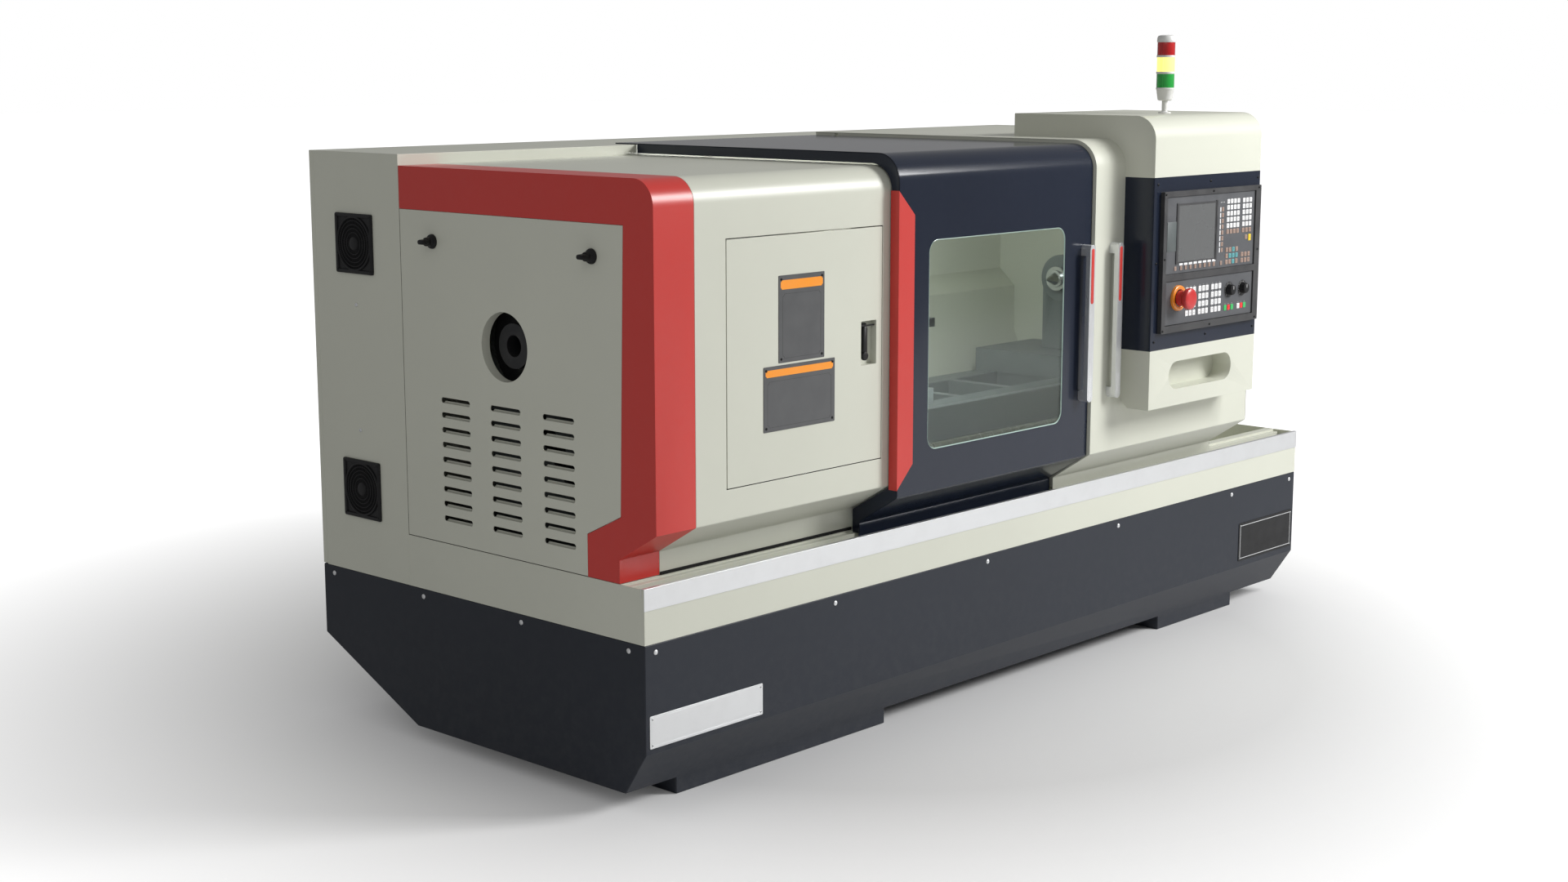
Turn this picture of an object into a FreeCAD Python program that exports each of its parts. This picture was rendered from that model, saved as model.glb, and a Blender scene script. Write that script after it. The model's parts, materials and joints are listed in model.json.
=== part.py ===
import FreeCAD, Part

import math
import os

from FreeCAD import Vector

# CNC turning lathe with a flat bed. Millimetres. While it is built, X runs along the spindle from
# the left end of the base, Y runs from the front of the chip tray to the back, and Z runs up from
# the floor. The last step moves the origin to the middle of the outline, on the floor.

# Base and tray
length = 2900.0
depth = 1231.0
foot_height = 42.0
base_top = 409.6
front_bevel_height = 149.4
front_bevel_depth = 70.7
back_bevel_height = 221.6
back_bevel_depth = 383.6
base_wall = 8.0
foot_spans = ((165.0, 933.0), (2230.0, 2650.0))
tray_top = 541.4
sheet = 3.0
rim_height = 51.2
rim_lap = 1.5
rim_width = 10.0

# Enclosure: fixed cover over the headstock, then two sliding leaves that wrap over front and roof
cover_top = 1468.6
cover_face = -41.8
cover_bend_z = 671.3
block_y = 80.1
block_z = 598.9
cover_radius = 62.0
frame_width = 126.0
cover_end = 829.0
seam = 1.5
leaf_y_gap = 28.5
right_step = 10.0
leaf_roof_gap = 27.9
left_leaf = dict(top=cover_top + leaf_roof_gap + sheet, face=cover_face - leaf_y_gap,
                 bend=cover_bend_z - 29.2, skirt=block_y - 27.4, knee=block_z - 35.1,
                 radius=68.0, x0=805.7, x1=1625.6)
right_leaf = dict(top=left_leaf["top"] + right_step, face=left_leaf["face"] - right_step,
                  bend=left_leaf["bend"] + 3.0, skirt=left_leaf["skirt"] - right_step,
                  knee=left_leaf["knee"] + 1.0, radius=68.0 + right_step, x0=1627.6, x1=2446.2)
leaf_bottom = 522.0
flange_clear = 5.0
seat_gap = 0.3

# Rear cabinet
cabinet_front = 861.5
leaf_lap = 83.5
leaf_back = cabinet_front + leaf_lap
cabinet_top = left_leaf["top"] - sheet - seat_gap
rear_door_depth = 18.0
rear_door_width = 898.0
fan_square = 152.0
fan_y = (cabinet_front + depth) / 2
fan_zs = (1266.5, 634.0)

# Spindle line and bed
axis_y = 471.5
axis_z = 1053.4
bed_x = (140.0, 2400.0)
bed_y = (300.0, 690.0)
bed_top = 760.0
way_width = 80.0
vee = 14.0
slide_gap = 0.3
run_gap = 0.05

# Window and handles of the leaves
window = (925.4, 1503.9, 749.0, 1282.0)
window_radius = 34.0
glass_thick = 5.0
glass_lap = 15.0
handle_z = (799.0, 1230.0)
handle_width = 25.0
handle_reach = 31.0
handle_thick = 14.0
handle_foot = 30.0
handle_left_x = 1578.0
handle_right_x = 1697.5

# Console that hangs on the right leaf
console_x = (1766.5, 2318.6)
console_face = -176.0
console_zs = (762.5, 927.7, 1405.6)
hood_top = right_leaf["top"] + 63.5
hood_back = 303.0
hood_radius = 65.0
bezel = (1799.5, 2307.0, 974.0, 1366.0)
bezel_thick = 6.0
display = (1815.5, 2279.0, 1137.0, 1351.0)
keypad = (1819.0, 2278.5, 994.5, 1117.5)
panel_thick = 3.0
estop_at = (1884.0, 1068.8)
estop_radius = 30.0
dial_xs = (2153.0, 2225.0)
dial_z = 1071.5
pocket = (1865.5, 2193.0, 809.0, 888.0)
pocket_depth = 60.0
beacon_at = (2042.5, -21.0)
beacon_radius = 25.0

# End panel
panel_hole_radius = 83.5
knob_spots = ((732.7, 1289.5), (159.3, 1288.5))
slot_columns = (660.0, 473.0, 283.5)
slot_rows = 9
slot_pitch = 37.0
slot_top = 902.0
slot_length = 110.0
slot_height = 12.0

parts = {}


def block(x0, x1, y0, y1, z0, z1):
    return Part.makeBox(x1 - x0, y1 - y0, z1 - z0, Vector(x0, y0, z0))


def rod(x0, x1, y, z, radius):
    return Part.makeCylinder(radius, x1 - x0, Vector(x0, y, z), Vector(1, 0, 0))


def tube(x0, x1, y, z, outer, inner):
    return rod(x0, x1, y, z, outer).cut(rod(x0 - 1, x1 + 1, y, z, inner))


def join(shapes):
    shapes = list(shapes)
    first = shapes[0]
    for other in shapes[1:]:
        first = first.fuse(other)
    return first.removeSplitter()


def group(shapes):
    return Part.makeCompound(list(shapes))


def prism_x(points, x0, x1):
    """A YZ outline carried along X."""
    wire = Part.makePolygon([Vector(x0, y, z) for y, z in points + points[:1]])
    return Part.Face(wire).extrude(Vector(x1 - x0, 0, 0))


def prism_y(points, y0, y1):
    """An XZ outline carried along Y."""
    wire = Part.makePolygon([Vector(x, y0, z) for x, z in points + points[:1]])
    return Part.Face(wire).extrude(Vector(0, y1 - y0, 0))


def plate_y(x0, x1, z0, z1, y0, y1, radius):
    """An upright plate facing Y with rounded corners."""
    radius = min(radius, (x1 - x0) / 2 - 0.01, (z1 - z0) / 2 - 0.01)
    solid = block(x0, x1, y0, y1, z0, z1)
    along = [e for e in solid.Edges if abs(e.tangentAt(e.FirstParameter).y) > 0.99]
    return solid.makeFillet(radius, along)


def cowl(shape, inset, x0, x1, bottom, back):
    """The solid under a roof, a rounded front corner, a face, a sloped bend and a skirt.
    A positive inset moves every outer surface inwards by that much."""
    top = shape["top"] - inset
    face = shape["face"] + inset
    skirt = shape["skirt"] + inset
    run = shape["skirt"] - shape["face"]
    drop = shape["bend"] - shape["knee"]
    slope = drop / run
    lift = inset * math.hypot(run, drop) / run
    bend = shape["bend"] - slope * inset + lift
    knee = shape["knee"] - slope * inset + lift
    radius = max(shape["radius"] - inset, 1.0)
    points = [(back, top), (face, top), (face, bend), (skirt, knee), (skirt, bottom), (back, bottom)]
    solid = prism_x(points, x0, x1)
    corner = [e for e in solid.Edges
              if abs(e.CenterOfMass.y - face) < 1e-6 and abs(e.CenterOfMass.z - top) < 1e-6]
    return solid.makeFillet(radius, corner)


def cover_shape():
    return dict(top=cover_top, face=cover_face, bend=cover_bend_z, skirt=block_y, knee=block_z,
                radius=cover_radius)


def make_base():
    outline = [(0, base_top), (0, front_bevel_height), (front_bevel_depth, foot_height),
               (depth - back_bevel_depth, foot_height), (depth, back_bevel_height), (depth, base_top)]
    w = base_wall
    inner = [(w, base_top - w), (w, front_bevel_height + w), (front_bevel_depth + w, foot_height + w),
             (depth - back_bevel_depth - w, foot_height + w), (depth - w, back_bevel_height + w),
             (depth - w, base_top - w)]
    frame = prism_x(outline, 0, length).cut(prism_x(inner, w, length - w))
    feet = [block(x0, x1, front_bevel_depth, depth - back_bevel_depth, 0, foot_height)
            for x0, x1 in foot_spans]
    parts["base_frame"] = join([frame] + feet)


def make_tray():
    back = cabinet_front
    outer = block(0, length, 0, back, base_top, tray_top)
    inner = block(sheet, length - sheet, sheet, back - sheet, base_top + sheet, tray_top + 1)
    parts["chip_tray"] = outer.cut(inner)
    top = tray_top + rim_lap
    rim = block(-rim_lap, length + rim_lap, -rim_lap, rim_width, tray_top - rim_height, top)
    hollow = block(-9, length + 9, 0, rim_width - rim_lap, tray_top - rim_height - 1, tray_top)
    inside = block(-9, length + 9, sheet + 1, rim_width + 1, tray_top - rim_height - 1, tray_top - 20)
    parts["tray_rim"] = rim.cut(hollow).cut(inside).cut(parts["chip_tray"])


sill_y = (block_y, block_y + 30.0)
sill_top = tray_top - 0.4
rail_y = (62.0, block_y)
rail_z = (523.0, 535.0)


def make_sill():
    floor = base_top + sheet
    y0, y1 = sill_y
    outer = block(sheet, length - sheet, y0, y1, floor, sill_top)
    inner = block(sheet - 1, length, y0 + sheet, y1 + 1, floor + sheet, sill_top - sheet)
    rail = block(10, length - 10, rail_y[0], rail_y[1], rail_z[0], rail_z[1])
    parts["front_sill"] = join([outer.cut(inner), rail])


access = (227.0, 778.5, 744.7, 1325.5)
latch = (699.0, 756.0, 986.3, 1095.0)
latch_depth = 18.0


def make_cover():
    back = cabinet_front
    bottom = sill_top + seam
    x0, x1 = frame_width + 0.5, cover_end
    shell = cowl(cover_shape(), 0, x0, x1, bottom, back)
    shell = shell.cut(cowl(cover_shape(), sheet, x0 - 1, x1 + 1, bottom - 1, back + 1))
    ax0, ax1, az0, az1 = access
    shell = shell.cut(block(ax0, ax1, cover_face - 5, cover_face + 20, az0, az1))
    wall = cowl(cover_shape(), 0, x1 - sheet, x1, bottom, back)
    wall = wall.cut(rod(x1 - 9, x1 + 9, axis_y, axis_z, chuck_radius + 8))
    wall = wall.cut(block(x1 - 9, x1 + 9, bed_y[0] - 80, bed_y[1] + 6, 0, bed_top + 6))
    hinges = [block(ax0 - 12, ax0 + seam - seat_gap, cover_face + 2, cover_face + 14, z, z + 90)
              for z in (az0 + 60, az1 - 150)]
    parts["headstock_cover"] = join([shell, wall] + hinges)


def make_access_door():
    ax0, ax1, az0, az1 = access
    x0, x1, z0, z1 = ax0 + seam, ax1 - seam, az0 + seam, az1 - seam
    pan = block(x0, x1, cover_face, cover_face + 14, z0, z1)
    pan = pan.cut(block(x0 + sheet, x1 - sheet, cover_face + sheet, cover_face + 15,
                        z0 + sheet, z1 - sheet))
    lx0, lx1, lz0, lz1 = latch
    cup = block(lx0 - sheet, lx1 + sheet, cover_face, cover_face + latch_depth + sheet,
                lz0 - sheet, lz1 + sheet)
    pan = pan.fuse(cup).cut(block(lx0, lx1, cover_face - 1, cover_face + latch_depth, lz0, lz1))
    parts["access_door"] = pan.removeSplitter()
    hinge_z = lz1 - 12.0
    lever = block(lx0 + 2, lx0 + 34, cover_face + 1.0, cover_face + 9.0, lz0 + 12, lz1 - 8)
    grip = Part.makeCylinder(12, 8, Vector(lx0 + 20, cover_face + 1, lz0 + 14), Vector(0, 1, 0))
    pivot = rod(lx0 + slide_gap, lx1 - slide_gap, cover_face + 8, hinge_z, 4)
    parts["access_latch"] = join([lever, grip, pivot])


frame_column = ((55.3, 1363.5), (74.0, 699.0), (188.0, 643.3))


def make_end_frame():
    back = cabinet_front - seam
    bottom = sill_top + seam
    (cy, cz), (ky, kz), (fy, fz) = frame_column
    opening = prism_x([(back + 5, cz), (cy, cz), (ky, kz), (fy, fz), (fy, bottom - 1),
                       (back + 5, bottom - 1)], -1, frame_width + 1)
    full = cowl(cover_shape(), 0, 0, frame_width, bottom, back)
    hollow = cowl(cover_shape(), sheet, sheet, frame_width + 1, bottom - 1, back + 1)
    lug = block(sheet, frame_width - 6, back - 25, cabinet_front, cz + 12, cover_top - sheet)
    parts["end_frame"] = join([full.cut(hollow).cut(opening), lug])
    g = seam / 2
    outline = [(back, cz - g), (cy + g, cz - g), (ky + g, kz + g), (fy + g, fz + g), (fy + g, bottom),
               (back, bottom)]
    panel = prism_x(outline, 0, sheet)
    collar = tube(sheet, sheet + 22, axis_y, axis_z, panel_hole_radius + sheet, panel_hole_radius)
    lug = block(0, 24, back - 12, cabinet_front, bottom + 6, cz - 12)
    panel = join([panel, collar, lug]).cut(rod(-1, 40, axis_y, axis_z, panel_hole_radius))
    for y in slot_columns:
        for row in range(slot_rows):
            z = slot_top - row * slot_pitch
            panel = panel.cut(block(-1, sheet + 1, y - slot_length / 2, y + slot_length / 2,
                                    z - slot_height / 2, z + slot_height / 2))
    for y, z in knob_spots:
        panel = panel.cut(rod(-1, sheet + 1, y, z, 6.0))
    parts["end_panel"] = panel


def make_end_knobs():
    for name, (y, z) in zip(("end_knob_rear", "end_knob_front"), knob_spots):
        flange = rod(-7, -seat_gap, y, z, 18)
        neck = rod(-16, -6, y, z, 10)
        wing = block(-38, -14, y - 5, y + 5, z - 14, z + 14)
        shank = rod(-2, 14, y, z, 5.5)
        parts[name] = join([flange, neck, wing, shank])


def make_cabinet():
    y0, y1 = cabinet_front, depth - rear_door_depth
    z0, z1 = base_top, cabinet_top
    shell = block(0, length, y0, y1, z0, z1)
    split = rear_door_width + 2
    left = block(sheet, split - sheet, y0 + sheet, y1 + 1, z0 + sheet, z1 - sheet)
    right = block(split, length - sheet, y0 + sheet, y1 + 1, z0 + sheet, z1 - sheet)
    shell = shell.cut(left).cut(right)
    for z in fan_zs:
        shell = shell.cut(rod(-1, sheet + 1, fan_y, z, 65.2))

    def pan(xa, xb, gap):
        skin = block(xa, xb, y1 + gap, depth, z0 + 2, z1)
        return skin.cut(block(xa + sheet, xb - sheet, y1 - 1, depth - sheet, z0 + 2 + sheet, z1 - sheet))
    lock_x, lock_z = rear_door_width - 40, (z0 + z1) / 2
    hole = Part.makeCylinder(11, 40, Vector(lock_x, y1, lock_z), Vector(0, 1, 0))
    parts["electrical_door"] = pan(0, rear_door_width, seat_gap).cut(hole)
    parts["rear_cabinet"] = join([shell, pan(rear_door_width + 2, length, 0)])
    body = Part.makeCylinder(10.7, 16, Vector(lock_x, depth - 15, lock_z), Vector(0, 1, 0))
    grip = block(lock_x - 6, lock_x + 6, depth + 1, depth + 14, lock_z - 26, lock_z + 26)
    cam = block(lock_x - 12, lock_x + 12, depth - 15, depth - 11, lock_z - 12, lock_z + 12)
    parts["door_lock"] = join([body, grip, cam])


def make_fans():
    half = fan_square / 2
    housings = []
    for name, z in zip(("fan_rotor_upper", "fan_rotor_lower"), fan_zs):
        plate = block(-6, 0, fan_y - half, fan_y + half, z - half, z + half)
        plate = plate.cut(rod(-7, 1, fan_y, z, 63.0))
        body = tube(-6, 40, fan_y, z, 65.0, 63.0)
        pieces = [plate, body, rod(-6, -2, fan_y, z, 18)]
        for ring in (28, 38, 48, 58):
            pieces.append(tube(-6, -2, fan_y, z, ring + 2.0, ring - 1.0))
        for turn in range(4):
            spoke = block(-6, -2, fan_y - 2, fan_y + 2, z, z + 64)
            back_arm = block(36, 40, fan_y - 4, fan_y + 4, z, z + 64)
            for arm in (spoke, back_arm):
                arm.rotate(Vector(0, fan_y, z), Vector(1, 0, 0), 45 + 90 * turn)
                pieces.append(arm)
        pieces.append(rod(36, 40, fan_y, z, 24))
        housings.append(join(pieces))
        blades = [rod(8, 36 - seat_gap, fan_y, z, 23)]
        for turn in range(7):
            blade = block(12, 14, fan_y - 13, fan_y + 13, z + 18, z + 60)
            blade.rotate(Vector(13, fan_y, z + 40), Vector(0, 0, 1), 35)
            blade.rotate(Vector(0, fan_y, z), Vector(1, 0, 0), 360.0 / 7 * turn)
            blades.append(blade)
        parts[name] = join(blades)
    parts["fan_guards"] = group(housings)


def leaf_shell(leaf, capped_left):
    x0, x1 = leaf["x0"], leaf["x1"]
    shell = cowl(leaf, 0, x0, x1, leaf_bottom, leaf_back)
    shell = shell.cut(cowl(leaf, sheet, x0 - 1, x1 + 1, leaf_bottom - 1, leaf_back + 1))
    guide_z = rail_z[1] + seat_gap
    guide = block(x0, x1, leaf["skirt"] + 1, block_y - 4, guide_z, guide_z + sheet)
    cap_x = (x0, x0 + sheet) if capped_left else (x1 - sheet, x1)
    cap = cowl(leaf, 0, cap_x[0], cap_x[1], guide_z, cabinet_front - 4)
    inner = cowl(cover_shape(), -flange_clear, cap_x[0] - 1, cap_x[1] + 1, 0, depth)
    return join([shell, guide, cap.cut(inner)])


def make_left_leaf():
    x0, x1, z0, z1 = window
    face = left_leaf["face"]
    shell = leaf_shell(left_leaf, True)
    hole = plate_y(x0, x1, z0, z1, face - 5, face + 8, window_radius)
    parts["left_door"] = shell.cut(hole)
    lap = glass_lap
    inner = face + sheet
    glass = plate_y(x0 - lap, x1 + lap, z0 - lap, z1 + lap, inner, inner + glass_thick,
                    window_radius + lap)
    parts["window_glass"] = glass


trim_width = 60.0
trim_z = (661.5, 1409.0)
trim_thick = 1.5
trim_side = 26.0


def make_trim():
    x0, face, t = left_leaf["x0"], left_leaf["face"], trim_thick
    z0, z1 = trim_z
    front = prism_y([(x0 - t, z0), (x0 + trim_width, z0 + trim_width + t),
                     (x0 + trim_width, z1 - trim_width - t), (x0 - t, z1)], face - t, face)
    side = block(x0 - t, x0, face - t, face + trim_side, z0, z1)
    parts["door_trim"] = join([front, side])


def handle(x, face):
    z0, z1 = handle_z
    bar = plate_y(x, x + handle_width, z0, z1, face - handle_reach, face, handle_width / 2)
    gap = block(x - 1, x + handle_width + 1, face - handle_reach + handle_thick, face + 1,
                z0 + handle_foot, z1 - handle_foot)
    return bar.cut(gap)


def make_right_leaf():
    shell = leaf_shell(right_leaf, False)
    runner = block(right_leaf["x0"], right_leaf["x1"], cabinet_front + 6, leaf_back,
                   cabinet_top + seat_gap, right_leaf["top"] - sheet)
    parts["right_door"] = join([shell, runner])
    parts["left_handle"] = handle(handle_left_x, left_leaf["face"])
    parts["right_handle"] = handle(handle_right_x, right_leaf["face"])


def make_console():
    x0, x1 = console_x
    zb, zm, zt = console_zs
    back = right_leaf["face"]
    t = sheet
    hood = dict(top=hood_top, face=console_face, bend=zt - 50, skirt=console_face + 80,
                knee=zt - 120, radius=hood_radius)
    body = cowl(hood, 0, x0, x1, zt - 200, hood_back)
    body = body.cut(cowl(hood, t, x0 + t, x1 - t, zt - 201, hood_back - t))
    body = body.cut(block(x0 - 1, x1 + 1, console_face - 5, back + 5, 0, zt))
    parts["console_hood"] = body.cut(cowl(right_leaf, 0, x0 - 1, x1 + 1, 0, depth))
    box = block(x0, x1, console_face, back, zm, zt)
    hollow = block(x0 + t, x1 - t, console_face + t, back - t, zm + t, zt - t)
    parts["console_box"] = box.cut(hollow)
    base = block(x0, x1, console_face, back, zb, zm)
    base = base.cut(prism_x([(back + 1, zb - 1), (back - 26, zb - 1), (back + 1, zb + 26)],
                            x0 - 1, x1 + 1))
    cavity = block(x0 + t, x1 - t, console_face + t, back - t - 26, zb + t, zm - t)
    px0, px1, pz0, pz1 = pocket
    bin_wall = plate_y(px0 - t, px1 + t, pz0 - t, pz1 + t, console_face, console_face + pocket_depth + t,
                       (pz1 - pz0) / 2 + t)
    bin_space = plate_y(px0, px1, pz0, pz1, console_face - 5, console_face + pocket_depth,
                        (pz1 - pz0) / 2)
    parts["console_base"] = base.cut(cavity).fuse(bin_wall).cut(bin_space).removeSplitter()


def make_panels():
    bx0, bx1, bz0, bz1 = bezel
    front = console_face - bezel_thick
    plate = plate_y(bx0, bx1, bz0, bz1, front, console_face, 4)
    stem_x, stem_z = estop_at
    stem_hole = Part.makeCylinder(8.4, 80, Vector(stem_x, front - 40, stem_z), Vector(0, 1, 0))
    holes = [stem_hole]
    for x in dial_xs:
        holes.append(Part.makeCylinder(4.3, 80, Vector(x, front - 40, dial_z), Vector(0, 1, 0)))
    dx0, dx1, dz0, dz1 = display
    kx0, kx1, kz0, kz1 = keypad
    screen_unit = plate_y(dx0, dx1, dz0, dz1, front - panel_thick, front, 3)
    keys = plate_y(kx0, kx1, kz0, kz1, front - panel_thick, front, 3)
    for hole in holes:
        plate = plate.cut(hole)
        keys = keys.cut(hole)
        parts["console_box"] = parts["console_box"].cut(hole)
    parts["console_bezel"] = plate
    parts["display_unit"] = screen_unit
    y = front - panel_thick
    ring = Part.makeCylinder(36, 5, Vector(stem_x, y - 5, stem_z), Vector(0, 1, 0))
    parts["machine_keypad"] = join([keys, ring.cut(stem_hole)])
    head = Part.makeCylinder(estop_radius, 16, Vector(stem_x, y - 48, stem_z), Vector(0, 1, 0))
    neck = Part.makeCone(16, 22, 22, Vector(stem_x, y - 12, stem_z), Vector(0, -1, 0))
    stem = Part.makeCylinder(8, 36, Vector(stem_x, y - 14, stem_z), Vector(0, 1, 0))
    rim = [e for e in head.Edges if abs(e.CenterOfMass.y - (y - 48)) < 1e-6]
    parts["estop_button"] = join([head.makeFillet(6, rim), neck, stem])
    for name, x in zip(("feed_dial", "speed_dial"), dial_xs):
        cap = Part.makeCylinder(13, 16, Vector(x, y - 16 - seat_gap, dial_z), Vector(0, 1, 0))
        pointer = block(x - 2, x + 2, y - 19, y - 10, dial_z - 12, dial_z + 12)
        shaft = Part.makeCylinder(4, 26, Vector(x, y - 4, dial_z), Vector(0, 1, 0))
        parts[name] = join([cap, pointer, shaft])


def make_beacon():
    x, y = beacon_at
    up = Vector(0, 0, 1)
    z = hood_top
    pole = Part.makeCylinder(8, 36, Vector(x, y, z), up)
    foot = Part.makeCylinder(18, 4, Vector(x, y, z), up)
    cup = Part.makeCone(14, beacon_radius, 35, Vector(x, y, z + 35), up)
    base = join([pole, foot, cup])
    z += 70
    for name, tall in (("beacon_green", 44), ("beacon_yellow", 46), ("beacon_red", 42)):
        parts[name] = Part.makeCylinder(beacon_radius, tall, Vector(x, y, z), up)
        z += tall
    cap = Part.makeCylinder(beacon_radius, 18, Vector(x, y, z), up)
    rim = [e for e in cap.Edges if abs(e.CenterOfMass.z - z - 18) < 1e-6]
    parts["beacon_mount"] = group([base, cap.makeFillet(7, rim)])


def make_bed():
    x0, x1 = bed_x
    y0, y1 = bed_y
    floor = base_top + sheet
    solid = block(x0, x1, y0, y1, floor, bed_top)
    for k in range(9):
        a = x0 + 60 + k * 242.0
        solid = solid.cut(block(a, a + 212, y0 + way_width, y1 - way_width, floor + 90, bed_top + 1))
    recess = block(x0 - 1, x1 + 1, y0 - 1, y0 + 30, floor + 90, bed_top - 130)
    solid = solid.cut(recess)
    ridge_y = y0 + way_width / 2
    ridge = prism_x([(ridge_y - vee, bed_top - 1), (ridge_y, bed_top + vee), (ridge_y + vee, bed_top - 1)],
                    860, x1)
    y, z = screw_at
    xa, xb = screw_x
    for a in (xa, xb - 46):
        body = block(a, a + 40, y - 34, y0 + 30, z - 34, z + 34)
        solid = solid.fuse(body).cut(rod(a - 1, a + 41, y, z, screw_radius + run_gap))
    parts["machine_bed"] = join([solid, ridge])


head_x = (140.0, 770.0)
head_top = 1330.0
head_wall = 35.0
spindle_radius = 55.0
bearing_radius = 85.0
spindle_bore = 26.0


def make_headstock():
    x0, x1 = head_x
    y0, y1 = bed_y
    w = head_wall
    box = block(x0, x1, y0, y1, bed_top, head_top)
    edges = [e for e in box.Edges if abs(e.tangentAt(e.FirstParameter).x) > 0.99
             and e.CenterOfMass.z > head_top - 1]
    box = box.makeFillet(40, edges)
    box = box.cut(block(x0 + w, x1 - w, y0 + w, y1 - w, bed_top + w, head_top - w))
    boss = rod(x1 - 1, x1 + 5, axis_y, axis_z, bearing_radius)
    box = join([box, boss])
    parts["headstock"] = box.cut(rod(x0 - 1, x1 + 9, axis_y, axis_z, spindle_radius + run_gap))


pulley_x = (62.0, 122.0)
pulley_radius = 110.0
motor_at = (195.0, 690.0)
motor_pulley_radius = 70.0
motor_radius = 95.0
chuck_x = (826.0, 911.0)
chuck_radius = 125.0
chuck_bore = 30.0
jaw_width = 32.0


def make_spindle():
    shaft = rod(30, chuck_x[0] - 30, axis_y, axis_z, spindle_radius)
    nose = rod(head_x[1] + 6, chuck_x[0], axis_y, axis_z, 100)
    a, b = pulley_x
    pulley = rod(a, b, axis_y, axis_z, pulley_radius)
    whole = join([shaft, nose, pulley])
    parts["spindle"] = whole.cut(rod(0, 900, axis_y, axis_z, spindle_bore))
    c0, c1 = chuck_x
    body = tube(c0, c1, axis_y, axis_z, chuck_radius, chuck_bore)
    for k in range(3):
        slot = block(c1 - 22, c1 + 1, axis_y - jaw_width / 2, axis_y + jaw_width / 2,
                     axis_z, axis_z + chuck_radius + 5)
        slot.rotate(Vector(0, axis_y, axis_z), Vector(1, 0, 0), 120 * k)
        body = body.cut(slot)
        half = jaw_width / 2 - slide_gap
        low = block(c1 - 22 + slide_gap, c1, axis_y - half, axis_y + half, axis_z + 40, axis_z + 112)
        step = block(c1, c1 + 34, axis_y - half, axis_y + half, axis_z + 40, axis_z + 76)
        jaw = join([low, step])
        jaw.rotate(Vector(0, axis_y, axis_z), Vector(1, 0, 0), 120 * k)
        parts["chuck_jaw_%d" % (k + 1)] = jaw
    parts["chuck"] = body


def belt_outline(centre_a, radius_a, centre_b, radius_b, x0, x1):
    """The solid inside a belt that wraps two pulleys: both discs and the tangent band between."""
    (ya, za), (yb, zb) = centre_a, centre_b
    span = math.hypot(yb - ya, zb - za)
    heading = math.atan2(zb - za, yb - ya)
    lean = math.acos((radius_a - radius_b) / span)
    corners = []
    for (cy, cz), r, sign in ((centre_a, radius_a, 1), (centre_b, radius_b, 1),
                              (centre_b, radius_b, -1), (centre_a, radius_a, -1)):
        turn = heading + sign * lean
        corners.append((cy + r * math.cos(turn), cz + r * math.sin(turn)))
    band = prism_x(corners, x0, x1)
    return join([band, rod(x0, x1, ya, za, radius_a), rod(x0, x1, yb, zb, radius_b)])


def make_drive():
    my, mz = motor_at
    a, b = pulley_x
    gap = slide_gap
    x0, x1 = a + 6, b - 6
    outer = belt_outline((axis_y, axis_z), pulley_radius + gap + 7, (my, mz),
                         motor_pulley_radius + gap + 7, x0, x1)
    inner = belt_outline((axis_y, axis_z), pulley_radius + gap, (my, mz),
                         motor_pulley_radius + gap, x0 - 1, x1 + 1)
    parts["drive_belt"] = outer.cut(inner)
    shaft = rod(a, 140 + 30, my, mz, 18)
    parts["motor_pulley"] = join([rod(a, b, my, mz, motor_pulley_radius), shaft])
    body = rod(140, 520, my, mz, motor_radius).cut(rod(139, 175, my, mz, 18 + run_gap))
    plate = block(180, 460, bed_y[0] - 12, bed_y[0], mz - 80, bed_top - 4)
    arm = block(200, 440, my, bed_y[0] - 6, mz - 60, mz + 40)
    body = join([body, arm, plate]).cut(rod(139, 175, my, mz, 18 + run_gap))
    parts["spindle_motor"] = body


screw_at = (262.0, 660.0)
screw_radius = 16.0
screw_x = (560.0, 2396.0)
carriage_x = (980.0, 1190.0)
tail_x = (2100.0, 2400.0)
pivot_radius = 28.0


def make_feed():
    y, z = screw_at
    x0, x1 = screw_x
    parts["ball_screw"] = rod(x0 + 5, x1 - 2, y, z, screw_radius)
    motor = join([block(x1 + 4, x1 + 150, y - 52, y + 52, z - 52, z + 52), rod(x1, x1 + 6, y, z, 12)])
    arms = [block(x1 - 6, x1 + 6, y + dy - 8, y + dy + 8, z + dz - 8, z + dz + 8)
            for dy in (-26, 26) for dz in (-26, 26)]
    parts["feed_motor"] = join([motor] + arms)


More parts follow.
